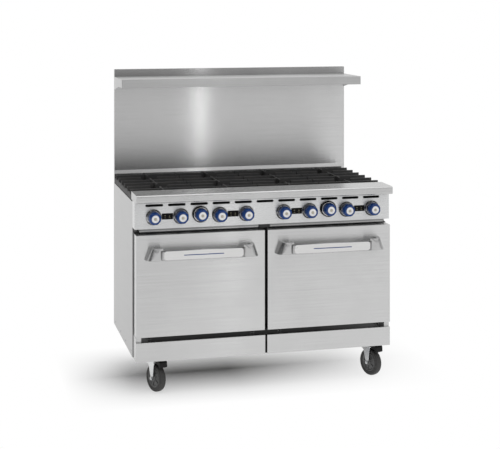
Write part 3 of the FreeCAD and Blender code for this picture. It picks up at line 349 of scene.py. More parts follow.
def rubber():
    s = Surface("tyre_rubber")
    skin = s.noise(500.0, 3.0)
    dust = s.noise(35.0, 5.0, None, 0.65)
    colour = s.shade(s.span(dust, 0, 1), grey(0.022), grey(0.05, 0.03))
    return s.finish(
        Base_Color=colour, Roughness=s.span(dust, 0.5, 0.75), Normal=s.bump(skin, 0.2, 0.15 * MM)
    )


# heights of painted shade bands: the door's hinge lugs below its front, the top of a tray's lip, and the
# backguard over the shelf, darkened for the shelf's shadow and dark reflection
LUGS = (0.0, skin("door_shell_left")[0] - 1 * MM)
TRAY_LIP = (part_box("crumb_tray_left")[1].z - 7 * MM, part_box("crumb_tray_left")[1].z)
OVER_SHELF = (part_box("high_shelf")[1].z, cad_high.z + 10 * MM)

STEEL = brushed_steel("brushed_steel", 0.64, 0.6, 0.22)
# door_steel: painted shade on the hinge lugs below the door's front, darkened almost to black
DOOR_STEEL = brushed_steel("door_steel", 0.64, 0.6, 0.22, shade_band=LUGS, share=0.03)
# painted shade: the side panels get a darker copy of the steel, 0.43 against 0.64, as for sides out of the
# light
SHADED_SIDE_STEEL = brushed_steel("side_steel_painted_shade", 0.43, 0.4, 0.3)
# tray_steel: a darker copy of the steel for the tray's lip under the panel, with a painted shade band on the
# lip's top
TRAY_STEEL = brushed_steel("tray_steel", 0.5, 0.46, 0.24, shade_band=TRAY_LIP)
PANEL_STEEL = brushed_steel("panel_steel", 0.68, 0.65, 0.26, 0.9, -0.006)
# guard_steel: the backguard over the shelf is darkened, as painted shade and a painted dark reflection of the
# shelf
GUARD_STEEL = brushed_steel("guard_steel", 0.62, 0.59, 0.17, shade_band=OVER_SHELF, share=0.66)
LEDGE_STEEL = brushed_steel("ledge_steel", 0.56, 0.52, 0.27, 0.5)
SHELF_STEEL = brushed_steel("shelf_steel", 0.5, 0.47, 0.3, 0.8)
GALVANISED = galvanised()
BLACK_ENAMEL_AND_SHADE = black_enamel()
PORCELAIN = oven_enamel()
IRON = cast_iron()
CHROME = chrome()
CAP_METAL = chrome("cap_metal", 0.78, 0.3)
BEZEL = chrome("bezel_plate", 0.32, 0.14)
HANDLE_METAL = chrome("handle_metal", 0.49, 0.2)
PLATE = satin_plate()
BLUE = plastic("blue_plastic", (0.002, 0.03, 0.15), (0.003, 0.048, 0.22), 0.2, 0.3, 0.4)
LABEL = plastic("label_black", grey(0.003), grey(0.007), 0.5, 0.0, 0.12)
DOT = plastic("cap_centre", (0.4, 0.37, 0.3), (0.5, 0.46, 0.38), 0.45, 0.0)
MARK = plastic("pale_marking", (0.5, 0.47, 0.3), (0.62, 0.58, 0.4), 0.5, 0.0)
WHITE = plastic("white_marking", grey(0.7), grey(0.85), 0.4, 0.1)
BRASS = brass()
PIPE = pipe_black()
WOOL = mineral_wool()
ZINC = zinc()
TYRE = rubber()
HUB = plastic("hub_grey", grey(0.09), grey(0.14), 0.45, 0.0)
PEDAL = plastic("pedal_black", grey(0.004), grey(0.009), 0.4, 0.0, 0.2)


# ---- mesh helpers: all build in the row frame, into a bmesh ----


def soften(thing, width, segments=2):
    """Rounds a piece's edges and smooths its shading over the rounds only."""
    bevel = thing.modifiers.new("round_edges", "BEVEL")
    bevel.width = width
    bevel.segments = segments
    bevel.limit_method = "ANGLE"
    bevel.angle_limit = math.radians(30)
    bevel.miter_outer = "MITER_ARC"
    normals = thing.modifiers.new("level_normals", "WEIGHTED_NORMAL")
    normals.keep_sharp = True


def piece(name, mesh, body, surface, replaced=(), edge=0.0, segments=2):
    """Turns a bmesh into a named piece of the range that rides on a CAD body."""
    bmesh.ops.recalc_face_normals(mesh, faces=mesh.faces)
    data = bpy.data.meshes.new(name)
    mesh.to_mesh(data)
    mesh.free()
    data.materials.append(surface)
    data.polygons.foreach_set("use_smooth", [True] * len(data.polygons))
    made = bpy.data.objects.new(name, data)
    bpy.context.scene.collection.objects.link(made)
    if edge:
        soften(made, edge, segments)
    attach(made, body)
    if replaced:
        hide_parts(*replaced)


def facing(centre, along):
    """A frame at centre whose local Z points along a level direction and whose local Y is up."""
    z = Vector(along).normalized()
    x = Vector((0, 0, 1)).cross(z).normalized()
    y = z.cross(x)
    turned = Matrix((x, y, z)).transposed().to_4x4()
    return Matrix.Translation(centre) @ turned


def bridge(mesh, first, second):
    """Faces between two loops of vertices, either of which may be a single point."""
    count = max(len(first), len(second))
    for i in range(count):
        j = (i + 1) % count
        if len(first) == 1:
            mesh.faces.new((first[0], second[i], second[j]))
        elif len(second) == 1:
            mesh.faces.new((first[i], second[0], first[j]))
        else:
            mesh.faces.new((first[i], second[i], second[j], first[j]))


def lathe(mesh, profile, place, around, closed=False, wave=None):
    """Turns (radius, height) corners about place's Z. wave(angle, radius) scales the radius."""
    rings = []
    for radius, height in profile:
        if radius < 1e-6:
            rings.append([mesh.verts.new(place @ Vector((0, 0, height)))])
            continue
        ring = []
        for i in range(around):
            angle = math.tau * i / around
            reach = radius * (wave(angle, radius) if wave else 1.0)
            corner = Vector((reach * math.cos(angle), reach * math.sin(angle), height))
            ring.append(mesh.verts.new(place @ corner))
        rings.append(ring)
    for first, second in zip(rings, rings[1:]):
        bridge(mesh, first, second)
    if closed:
        bridge(mesh, rings[-1], rings[0])


def turned(mesh, profile, place, around, soft, steps=3, **settings):
    """A lathed shape from (radius, height) corners in mm, its inner corners rounded by soft mm."""
    lathe(mesh, [(r * MM, z * MM) for r, z in rounded(profile, soft, steps)], place, around, **settings)


def rounded(corners, radius, steps=4):
    """(radius, height) or (x, y) corners with each inner corner turned into an arc."""
    points = [Vector(corners[0])]
    for before, corner, after in zip(corners, corners[1:], corners[2:]):
        a, b, c = Vector(before), Vector(corner), Vector(after)
        into, out = (a - b), (c - b)
        reach = min(radius, into.length * 0.45, out.length * 0.45)
        start, end = b + into.normalized() * reach, b + out.normalized() * reach
        for i in range(steps + 1):
            t = i / steps
            points.append(start.lerp(b, t).lerp(b.lerp(end, t), t))
    points.append(Vector(corners[-1]))
    return points


def prism(mesh, outline, low, high, place=Matrix()):
    """Extrudes a closed outline of local (x, y) corners from local z low to high."""
    bottom = [mesh.verts.new(place @ Vector((x, y, low))) for x, y in outline]
    top = [mesh.verts.new(place @ Vector((x, y, high))) for x, y in outline]
    bridge(mesh, bottom, top)
    mesh.faces.new(bottom[::-1])
    mesh.faces.new(top)


def slab(mesh, low, high, place=Matrix()):
    """A plain block between two corners, for use inside a larger piece."""
    outline = ((low[0], low[1]), (high[0], low[1]), (high[0], high[1]), (low[0], high[1]))
    prism(mesh, outline, low[2], high[2], place)


def loft(mesh, loops):
    """Skins between loops of points with equal counts, closed at both ends."""
    rings = [[mesh.verts.new(point) for point in loop] for loop in loops]
    for first, second in zip(rings, rings[1:]):
        bridge(mesh, first, second)
    mesh.faces.new(rings[0][::-1])
    mesh.faces.new(rings[-1])


def rounded_box(half_x, half_y, radius, steps=4):
    """A closed outline: a rectangle with round corners, about the origin."""
    points = []
    for corner, (sx, sy) in enumerate(((1, 1), (-1, 1), (-1, -1), (1, -1))):
        for i in range(steps + 1):
            angle = math.pi / 2 * (corner + i / steps)
            x = sx * (half_x - radius) + radius * math.cos(angle)
            y = sy * (half_y - radius) + radius * math.sin(angle)
            points.append((x, y))
    return points


def circle(radius, count):
    angles = [math.tau * i / count for i in range(count)]
    return [(radius * math.cos(angle), radius * math.sin(angle)) for angle in angles]


def middle(node):
    low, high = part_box(node)
    return (low + high) / 2


# ---- CAD nodes that stay: finish and rounded edges ----

# node: (material, edge radius in mm)
KEPT = {
    # painted shade: the base frame is black so that the toe gap stays dark
    "base_frame": (BLACK_ENAMEL_AND_SHADE, 0.6),
    "side_panels": (SHADED_SIDE_STEEL, 0.6),
    "rear_panel": (GALVANISED, 0.5),
    # painted shade: the front frame is black so that the gaps round the doors stay dark
    "front_frame": (BLACK_ENAMEL_AND_SHADE, 0.5),
    "kick_plates": (STEEL, 0.6),
    "control_panel": (PANEL_STEEL, 0.6),
    "landing_ledge": (LEDGE_STEEL, 0.6),
    "top_frame": (BLACK_ENAMEL_AND_SHADE, 0.8),
    "backguard": (GUARD_STEEL, 0.6),
    "high_shelf": (SHELF_STEEL, 0.6),
    "shelf_brackets": (SHELF_STEEL, 0.6),
    "gas_manifold": (PIPE, 0.8),
    "gas_valves": (BRASS, 0.6),
    "top_burners": (IRON, 1.0),
    "pilot_burners": (ZINC, 0.0),
    "oven_liners": (PORCELAIN, 0.5),
    "oven_floors": (PORCELAIN, 0.6),
    "oven_burners": (IRON, 0.8),
    "oven_racks": (CHROME, 0.0),
    "oven_insulation": (WOOL, 2.0),
    "caster_plates": (ZINC, 0.6),
    "caster_bolts": (ZINC, 0.4),
    "door_shell_left": (DOOR_STEEL, 0.6),
    "door_shell_right": (DOOR_STEEL, 0.6),
    "door_inner_left": (PORCELAIN, 0.8),
    "door_inner_right": (PORCELAIN, 0.8),
    "crumb_tray_left": (TRAY_STEEL, 0.6),
    "crumb_tray_right": (TRAY_STEEL, 0.6),
}


def finish_kept_nodes():
    for name, (surface, radius) in KEPT.items():
        node = NODES[name]
        node.data.materials.clear()
        node.data.materials.append(surface)
        for attribute in [a for a in node.data.attributes if a.name == "custom_normal"]:
            node.data.attributes.remove(attribute)
        node.data.polygons.foreach_set("use_smooth", [True] * len(node.data.polygons))
        weld = node.modifiers.new("weld", "WELD")
        weld.merge_threshold = 0.01 * MM
        flat = node.modifiers.new("merge_flats", "DECIMATE")
        flat.decimate_type = "DISSOLVE"
        flat.angle_limit = math.radians(0.5)
        node.modifiers.new("split_faces", "TRIANGULATE")
        if radius:
            soften(node, radius * MM)
        else:
            node.modifiers.new("level_normals", "WEIGHTED_NORMAL")


def guard_trim():
    """A folded strip that slopes up from the grates to the backguard."""
    low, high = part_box("backguard")
    bottom, top = skin("backguard")
    mesh = bmesh.new()
    section = [(-5, bottom), (-5, bottom + 2 * MM), (-0.4, top), (0, top), (0, bottom)]
    section = [(low.y + y * MM, z) for y, z in section]
    loft(mesh, [[Vector((x, y, z)) for y, z in section] for x in (low.x + 3 * MM, high.x - 3 * MM)])
    piece("guard_trim_strip", mesh, "range_body", GUARD_STEEL, edge=0.5 * MM)


def kick_returns():
    """The folded ends behind the kick plates: they meet the side panels, clear of the doors' swing."""
    low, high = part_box("kick_plates")
    front, back = high.y + 1 * MM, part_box("side_panels")[0].y + 1 * MM
    gauge = 1.2 * MM
    mesh = bmesh.new()
    for left in (low.x, high.x - gauge):
        slab(mesh, (left, front, low.z), (left + gauge, back, high.z))
    piece("kick_plate_returns", mesh, "range_body", STEEL, edge=0.3 * MM)


def toe_gap_shade_sheet():
    """The black sheet that closes the base behind the toe gap, under the oven fronts. It is a dark sheet put
    there as painted shade, to keep the gap dark.
    """
    low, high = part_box("base_frame")
    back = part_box("front_frame")[1].y
    inset, toe, gauge = 2 * MM, 13 * MM, 1.2 * MM
    top = high.z - 0.6 * MM
    mesh = bmesh.new()
    slab(mesh, (low.x + inset, low.y + toe, top - gauge), (high.x - inset, back, top))
    piece("toe_gap_shade_sheet", mesh, "range_body", BLACK_ENAMEL_AND_SHADE, edge=0.2 * MM)


# ---- controls ----

# a knob's lobes, its radius in mm, and the radius of the chrome cup behind it
KNOB_LOBES = 8
RIM = (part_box("burner_knob_left_front")[1].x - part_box("burner_knob_left_front")[0].x) / 2 / MM
CUP = (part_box("control_bezels")[1].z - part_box("control_bezels")[0].z) / 2


def lobed(angle, radius):
    """Shallow finger hollows round a knob's rim, fading out towards its face and back."""
    if radius < 24 * MM:
        return 1.0
    return 1.0 - 0.045 * max(0.0, math.cos(KNOB_LOBES * angle)) ** 2


def knob(name, node, body, skirt):
    """A moulded knob with a bright cap and a pointer ridge. A thermostat's has a dial skirt too."""
    low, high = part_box(node)
    axis = Vector(((low.x + high.x) / 2, high.y, (low.z + high.z) / 2))
    place = facing(axis, (0, -1, 0))
    length = (high.y - low.y) / MM
    back = 6 if skirt else 0
    profile = [(3.2, back + 1), (19, back), (20, back + 1), (20, length - 34), (RIM - 1.5, length - 33)]
    profile += [(RIM, length - 31.5), (RIM, length - 24), (RIM - 1.0, length - 16), (RIM - 3.0, length - 8)]
    profile += [(RIM - 6.5, length - 2.5), (RIM - 12, length - 0.6), (RIM - 13.2, length - 1.6)]
    profile.append((0, length - 1.8))
    mesh = bmesh.new()
    turned(mesh, profile, place, 96, 2.0, wave=lobed)
    piece(f"knob_body_{name}", mesh, body, BLUE, (node,))
    mesh = bmesh.new()
    cap = [(7.0, -0.9), (8.5, -0.9), (9.5, -0.4), (RIM - 16, -0.1), (RIM - 14.6, -0.1)]
    cap += [(RIM - 13.6, -0.8), (RIM - 13.6, -2.2)]
    turned(mesh, [(r, length + z) for r, z in cap], place, 64, 0.8)
    piece(f"knob_cap_{name}", mesh, body, CAP_METAL)
    mesh = bmesh.new()
    button = [(0, -0.6), (6.8, -0.6), (7.4, -1.4)]
    lathe(mesh, [(r * MM, (length + z) * MM) for r, z in button], place, 48)
    piece(f"knob_dot_{name}", mesh, body, DOT)
    mesh = bmesh.new()
    path = [(RIM - 10.5, length - 0.2), (RIM - 6.0, length - 2.2), (RIM - 2.6, length - 8)]
    path.append((RIM - 0.6, length - 16))
    strip = ((-0.9, -0.5), (0.9, -0.5), (0.9, 0.5), (-0.9, 0.5))
    loft(mesh, [[place @ Vector((x * MM, (r + y) * MM, (z + y) * MM)) for x, y in strip] for r, z in path])
    piece(f"knob_pointer_{name}", mesh, body, BLUE, edge=0.2 * MM)
    if skirt:
        dial(name, body, place, (high.x - low.x) / 2 / MM - 1.2)


def dial(name, body, place, rim):
    """A thermostat's black skirt with a ring of pale ticks; rim is its radius in mm."""
    mesh = bmesh.new()
    outline = [(8, 0.0), (rim - 0.8, 0.0), (rim, 0.8), (rim, 3.0), (rim - 1.5, 4.4), (rim - 5, 5.6)]
    outline += [(26, 6.0), (8, 6.0)]
    turned(mesh, outline, place, 96, 0.6, 2, closed=True)
    piece(f"dial_skirt_{name}", mesh, body, LABEL)
    mesh = bmesh.new()
    ring = [(RIM - 4, 5.6), (RIM + 2.2, 5.4), (RIM + 2.2, 6.2), (RIM + 0.6, 7.2), (RIM - 4, 7.2)]
    turned(mesh, ring, place, 96, 0.4, 2, closed=True)
    piece(f"dial_ring_{name}", mesh, body, CHROME)
    mesh = bmesh.new()
    strip = ((-0.25, 0), (0.25, 0), (0.25, 0.25), (-0.25, 0.25))
    ticks, first_turn, step = 28, 45, 10
    for i in range(ticks):
        tick = place @ Matrix.Rotation(math.radians(first_turn + i * step), 4, "Z")
        inner = rim - 3.6 + (1.0 if i % 5 else 0.0)
        loops = []
        for r in (inner, rim - 1.2):
            z = 4.45 + (rim - 1.5 - r) * 0.34
            loops.append([tick @ Vector((x * MM, r * MM, (z + dz) * MM)) for x, dz in strip])
        loft(mesh, loops)
    piece(f"dial_ticks_{name}", mesh, body, WHITE)


def bezels():
    """A deep-drawn chrome cup behind each burner knob."""
    low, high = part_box("control_bezels")
    radius, depth = CUP / MM, (high.y - low.y) / MM
    profile = [(11, 0.2), (radius, 0.2), (radius, 0.8), (radius - 3.0, depth * 0.45), (radius - 6.4, depth)]
    profile += [(radius - 8.6, depth), (radius - 10.0, depth - 3.0), (11, depth - 3.5)]
    inner, outer = radius - 9.4, radius - 6.0
    lip = [(inner, depth - 1.0), (outer, depth - 1.0), (outer, depth + 0.6), (inner, depth + 0.6)]
    mesh, lips = bmesh.new(), bmesh.new()
    for name in BURNERS:
        across = middle(f"burner_knob_{name}").x
        place = facing(Vector((across, high.y, (low.z + high.z) / 2)), (0, -1, 0))
        turned(mesh, profile, place, 72, 1.2, closed=True)
        turned(lips, lip, place, 72, 0.5, 2, closed=True)
    piece("control_bezel_rings", mesh, "range_body", BEZEL, ("control_bezels",))
    piece("control_bezel_lips", lips, "range_body", CHROME)


def label_plates():
    """Rounded black plates between the knobs, with small generic burner symbols and no lettering."""
    low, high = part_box("label_plates")
    half_high, face = (high.z - low.z) / 2, high.y - low.y
    plate_mesh, mark_mesh = bmesh.new(), bmesh.new()
    for column in COLUMNS:
        ends = middle(f"burner_knob_{column}_front").x, middle(f"burner_knob_{column}_rear").x
        half = abs(ends[1] - ends[0]) / 2 - CUP - 0.5 * MM
        place = facing(Vector((sum(ends) / 2, high.y, (low.z + high.z) / 2)), (0, -1, 0))
        prism(plate_mesh, rounded_box(half, half_high, 2.5 * MM), 0.0, face - 0.2 * MM, place)
        # a square of four dots for four burners, the larger ones in the row that the knob feeds
        for side in (-1, 1):
            for i in range(4):
                x, y = side * (9 + 3 * (i % 2)) * MM, (4 - 3.4 * (i // 2)) * MM
                spot = place @ Matrix.Translation((x, y, 0))
                lit = i // 2 == (side + 1) // 2
                prism(mark_mesh, circle((1.1 if lit else 0.6) * MM, 14), face - 0.4 * MM, face, spot)
            line = place @ Matrix.Translation((side * 10.5 * MM, -6.5 * MM, 0))
            prism(mark_mesh, rounded_box(4 * MM, 0.4 * MM, 0.35 * MM), face - 0.4 * MM, face, line)
    piece("label_plate_set", plate_mesh, "range_body", LABEL, ("label_plates",), edge=0.3 * MM)
    piece("label_symbols", mark_mesh, "range_body", MARK)


def controls():
    for name in BURNERS:
        knob(name, f"burner_knob_{name}", BODY_OF[f"burner_knob_{name}"], False)
    for side in ("left", "right"):
        knob(f"thermostat_{side}", f"thermostat_knob_{side}", BODY_OF[f"thermostat_knob_{side}"], True)
    bezels()
    label_plates()


# ---- door handles ----


# how far a bracket runs in from the handle's end
BRACKET = 80 * MM


def handle_grip(side):
    """A flat grip with a pale plate let into it and a thin blue stripe on the plate."""
    node, body = f"door_handle_{side}", f"door_{side}"
    low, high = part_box(node)
    centre = middle(node)
    grip_half = (high.x - low.x) / 2 - BRACKET
    grip_high = (high.z - low.z) / 2 - 5 * MM
    grip_mid = centre.z - 4 * MM
    hidden = 6 * MM
    ends = centre.x - grip_half - hidden, centre.x + grip_half + hidden
    section = rounded_box(6 * MM, grip_high, 5 * MM, 5)
    section = [(low.y + 7.5 * MM + y, grip_mid + z) for y, z in section]
    mesh = bmesh.new()
    loft(mesh, [[Vector((x, y, z)) for y, z in section] for x in ends])
    piece(f"handle_grip_{side}", mesh, body, HANDLE_METAL, (node,))

    place = facing(Vector((centre.x, low.y + 1.6 * MM, grip_mid)), (0, -1, 0))
    mesh = bmesh.new()
    prism(mesh, rounded_box(grip_half - 2 * MM, grip_high - 2.5 * MM, 12 * MM, 6), 0, 1.6 * MM, place)
    piece(f"handle_inlay_{side}", mesh, body, PLATE, edge=0.5 * MM)
    mesh = bmesh.new()
    prism(mesh, rounded_box(grip_half * 0.5, 2.0 * MM, 1.9 * MM, 4), 1.4 * MM, 1.9 * MM, place)
    piece(f"handle_stripe_{side}", mesh, body, BLUE, edge=0.1 * MM)


def handle_brackets(side):
    """Two cast brackets that splay out to the door and lean in towards their tops."""
    node = f"door_handle_{side}"
    low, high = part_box(node)
    half, depth = (high.x - low.x) / 2, high.y - low.y
    outer = [(0, depth), (-5 * MM, depth * 0.5), (-16 * MM, 8 * MM), (-34 * MM, 0), (-54 * MM, 0)]
    outer += [(-70 * MM, 7 * MM), (-BRACKET, 8 * MM)]
    inner = [(-BRACKET, 14 * MM), (-42 * MM, 16.5 * MM), (-33 * MM, 23 * MM), (-24 * MM, depth)]
    outline = rounded(outer, 16 * MM, 8) + rounded(inner, 8 * MM, 3)
    lean, rows = 20 * MM, 10
    mesh = bmesh.new()
    for sign in (-1, 1):
        loops = []
        for i in range(rows + 1):
            t = i / rows
            height = low.z + (high.z - low.z) * t
            crown = 5 * MM * abs(2 * t - 1) ** 3
            loop = []
            for x, y in outline:
                share = max(0.0, 1 + x / BRACKET)
                across = middle(node).x + sign * (half + x - lean * t * share)
                loop.append(Vector((across, low.y + max(y, crown), height)))
            loops.append(loop)
        loft(mesh, loops)
    name, body = f"handle_brackets_{side}", f"door_{side}"
    piece(name, mesh, body, HANDLE_METAL, edge=1.5 * MM, segments=3)


# ---- grates and burners ----

# the web's height above a grate's base
GRATE_WEB = 21 * MM


def bar(mesh, start, end, bottom, top, foot, crown):
    """A cast bar between two points, wider at its foot than at its rounded crown."""
    start, end = Vector(start), Vector(end)
    along = (end - start).normalized()
    across = along.cross(Vector((0, 0, 1)))
    rise = top - 2 * MM
    section = [(-foot, bottom), (-crown, rise), (-crown * 0.6, top)]
    section += [(-x, z) for x, z in section[::-1]]
    loops = [[p + across * x + Vector((0, 0, z)) for x, z in section] for p in (start, end)]
    loft(mesh, loops)


def mouth(radius, half_width, half_length):
    """The outline of a round opening that a slot crosses, about the origin."""
    sides = 96
    points = []
    for i in range(sides):
        turn = math.tau * i / sides
        x, y = math.sin(turn), math.cos(turn)
        straight = half_width / max(abs(x), 0.001)
        ends = half_length / max(abs(y), 0.001)
        reach = max(radius, min(straight, ends))
        points.append((x * reach, y * reach))
    return points


def grate_bars(mesh, low, high):
    """The square rim and the pot bars: two across the grate and four that stop short of its centre."""
    centre, half = (low + high) / 2, (high.x - low.x) / 2
    rim, rim_top = half - 5 * MM, low.z + 25 * MM
    compass = ((1, 0), (-1, 0), (0, 1), (0, -1))
    for east, north in compass:
        spot = Vector((centre.x + east * rim, centre.y + north * rim, 0))
        reach = Vector((north, east, 0)) * half
        bar(mesh, spot - reach, spot + reach, low.z, rim_top, 5 * MM, 4 * MM)
    pot_bar = (low.z + GRATE_WEB - 3 * MM, high.z, 6.5 * MM, 4.5 * MM)
    third = (half + 1.5 * MM) * 2 / 3
    for i in (-1, 1):
        ends = [Vector((centre.x + side * half, centre.y + i * third, 0)) for side in (-1, 1)]
        bar(mesh, *ends, *pot_bar)
    for east, north in compass:
        spot = Vector((east, north, 0))
        reach = Vector((centre.x, centre.y, 0))
        bar(mesh, reach + spot * 41 * MM, reach + spot * half, *pot_bar)


def grate_web(mesh, low, high):
    """The web between the bars, dished round its opening over the burner."""
    centre, half = (low + high) / 2, (high.x - low.x) / 2
    inner = mouth(59 * MM, 31 * MM, 128 * MM)
    lip = mouth(63 * MM, 35 * MM, 131 * MM)
    outer = mouth(half, half - 7 * MM, half - 7 * MM)
    web = low.z + GRATE_WEB
    dish, under = web - 3 * MM, web - 5 * MM
    rings = [(outer, web), (lip, web), (inner, dish), (inner, dish - 4 * MM), (lip, under), (outer, under)]
    place = Matrix.Translation((centre.x, centre.y, 0))
    ring_verts = [[mesh.verts.new(place @ Vector((x, y, z))) for x, y in points] for points, z in rings]
    for first, second in zip(ring_verts, ring_verts[1:] + ring_verts[:1]):
        bridge(mesh, first, second)


def grate(name):
    """A cast grate. Its bars have rounded crowns, and its web is open over the burner."""
    node = f"grate_{name}"
    mesh = bmesh.new()
    grate_bars(mesh, *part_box(node))
    grate_web(mesh, *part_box(node))
    piece(f"cast_grate_{name}", mesh, BODY_OF[node], IRON, (node,), edge=1.2 * MM)


def burner_heads():
    """The ported cap of each top burner, over its CAD head."""
    mesh = bmesh.new()
    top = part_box("top_burners")[1].z
    for name in BURNERS:
        centre = middle(f"grate_{name}")
        place = Matrix.Translation((centre.x, centre.y, top))
        outline = [(0, -1.4), (17, -1.4), (19, 2), (24, 5), (34, 5), (44, 0.5), (46, -4), (46, -10)]
        outline.append((40, -14))
        turned(mesh, outline, place, 96, 2.0, wave=ported)
    piece("burner_caps", mesh, "range_body", IRON)


def ported(angle, radius):
    """Flame ports: small notches round a burner head's shoulder."""
    if radius < 36 * MM:
        return 1.0
    return 1.0 - 0.05 * max(0.0, math.cos(24 * angle)) ** 4


# ---- casters ----


def caster_wheel(corner, place):
    """A rubber tyre on a hub with five ribs on each face."""
    node = f"caster_wheel_{corner}"
    low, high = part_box(node)
    tread = (high.z - low.z) / 2 / MM
    mesh = bmesh.new()
    tyre = [(43, 14), (50, 14.5), (tread - 7, 16), (tread - 2.5, 13.5), (tread - 0.3, 8), (tread, 0)]
    tyre += [(r, -z) for r, z in tyre[-2::-1]]
    turned(mesh, tyre, place, 96, 3.0, closed=True)
    piece(f"tyre_{corner}", mesh, BODY_OF[node], TYRE, (node,))
    mesh = bmesh.new()
    hub = [(6.1, 19), (13, 19), (14.5, 17), (15.5, 10), (34, 8.5), (38, 13), (41, 14.6), (43.2, 14.6)]
    hub += [(r, -z) for r, z in hub[::-1]]
    turned(mesh, hub, place, 72, 1.6, closed=True)
    ribs = 5
    for side in (-1, 1):
        for i in range(ribs):
            rib = place @ Matrix.Rotation(math.tau * i / ribs, 4, "Z")
            face = side * 11
            corners = (14, -2.5, face - 2.5), (38, 2.5, face + 2.5)
            slab(mesh, *[[value * MM for value in corner] for corner in corners], rib)
    piece(f"hub_{corner}", mesh, BODY_OF[node], HUB, edge=0.5 * MM)


def caster_yoke(corner, yoke, bolt):
    """A stamped yoke: the cap of its ball race, two legs, and the axle bolt with its nuts."""
    node = f"caster_fork_{corner}"
    mesh = bmesh.new()
    crown = [(6.2, -6), (26, -6), (29, -4.5), (29.5, -2), (27, 0), (15, 0), (12, -1.2), (6.2, -1.2)]
    turned(mesh, crown, Matrix.Translation(yoke.translation), 64, 1.0, 2, closed=True)
    leg = [(20, -2), (-36, 4), (-54, 4), (-54, -12), (-48, -70), (-37, -89), (-26, -70), (-12, -22), (20, -8)]
    leg = [(y * MM, z * MM) for y, z in leg]
    outline = rounded(leg + [leg[0]], 6 * MM, 4)[:-1]
    for side in (-1, 1):
        place = yoke @ facing(Vector((side * 23 * MM, 0, 0)), (1, 0, 0))
        prism(mesh, outline, -1.9 * MM, 1.9 * MM, place)
    for side in (-1, 1):
        spot = bolt @ Matrix.Translation((0, 0, side * 26.5 * MM))
        prism(mesh, circle(9 * MM, 6), -2.6 * MM, 2.6 * MM, spot)
        prism(mesh, circle(4.5 * MM, 20), -5.5 * MM, 5.5 * MM, spot)
    shank, shank_half = 5.9 * MM, 24 * MM
    lathe(mesh, [(0, -shank_half), (shank, -shank_half), (shank, shank_half), (0, shank_half)], bolt, 24)
    piece(f"yoke_{corner}", mesh, BODY_OF[node], ZINC, (node,), edge=0.7 * MM)


def brake_pedal(corner, yoke):
    """A black toe pedal that hooks down over the tyre."""
    node = f"brake_pedal_{corner}"
    pedal = [(-38, 6), (-90, 6), (-99, 0), (-100, -24), (-94, -26), (-86, -14), (-60, -7), (-38, -5)]
    pedal = [(y * MM, z * MM) for y, z in pedal]
    outline = rounded(pedal + [pedal[0]], 3.5 * MM, 4)[:-1]
    half_wide = 20 * MM
    mesh = bmesh.new()
    prism(mesh, outline, -half_wide, half_wide, yoke @ facing(Vector((0, 0, 0)), (1, 0, 0)))
    name = f"pedal_{corner}"
    piece(name, mesh, BODY_OF[node], PEDAL, (node,), edge=1.5 * MM, segments=3)


def caster(corner):
    """A caster, placed from the joints of its wheel and swivel. The front ones have a brake."""
    wheel = JOINTS[f"wheel_{corner}"]
    swivel = Vector(JOINTS[f"swivel_{corner}"]["pos_m"])
    axle, across = Vector(wheel["pos_m"]), Vector(wheel["axis"]).normalized()
    fork_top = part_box(f"caster_fork_{corner}")[1].z
    turn = across.to_track_quat("X", "Z").to_matrix().to_4x4()
    yoke = Matrix.Translation((swivel.x, swivel.y, fork_top)) @ turn
    trail = (axle - swivel).xy.length
    bolt = yoke @ facing(Vector((0, -trail, axle.z - fork_top)), (1, 0, 0))
    caster_wheel(corner, facing(axle, across))
    caster_yoke(corner, yoke, bolt)
    if f"brake_{corner}" in JOINTS:
        brake_pedal(corner, yoke)


# ---- screws ----


def screw(mesh, spot, outward, turn):
    """A pan-head screw with a cross recess; outward is its axis and turn spins its recess."""
    place = facing(Vector(spot), outward) @ Matrix.Rotation(turn, 4, "Z")
    around = 24
    size = 4 * MM
    head = ((1, 0), (1, 0.2), (0.8, 0.48), (0.45, 0.58))
    lathe(mesh, [(size * r, size * z) for r, z in head], place, around)
    rings = []
    for cross, height in ((False, 0.58), (True, 0.57), (True, 0.25)):
        ring = []
        for i in range(around):
            reach = 0.45 if not cross or i % 6 in (0, 1, 5) else 0.2
            angle = math.tau * i / around
            spin = Vector((reach * math.cos(angle), reach * math.sin(angle), height))
            ring.append(mesh.verts.new(place @ (spin * size)))
        rings.append(ring)
    for first, second in zip(rings, rings[1:]):
        bridge(mesh, first, second)
    mesh.faces.new(rings[-1])


def body_screws():
    """Sheet-metal screws along the lower edges of the rear panel and the side panels."""
    mesh = bmesh.new()
    low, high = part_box("rear_panel")
    for i in range(5):
        x = low.x + 40 * MM + (high.x - low.x - 80 * MM) * i / 4
        screw(mesh, (x, high.y, low.z + 14 * MM), (0, 1, 0), 0.4 * i)
    low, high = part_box("side_panels")
    for sign, x in ((-1, low.x), (1, high.x)):
        for i in range(4):
            y = low.y + 60 * MM + (high.y - low.y - 120 * MM) * i / 3
            screw(mesh, (x, y, low.z + 18 * MM), (sign, 0, 0), 0.7 * i)
    piece("body_screws", mesh, "range_body", ZINC)


# ---- stage ----


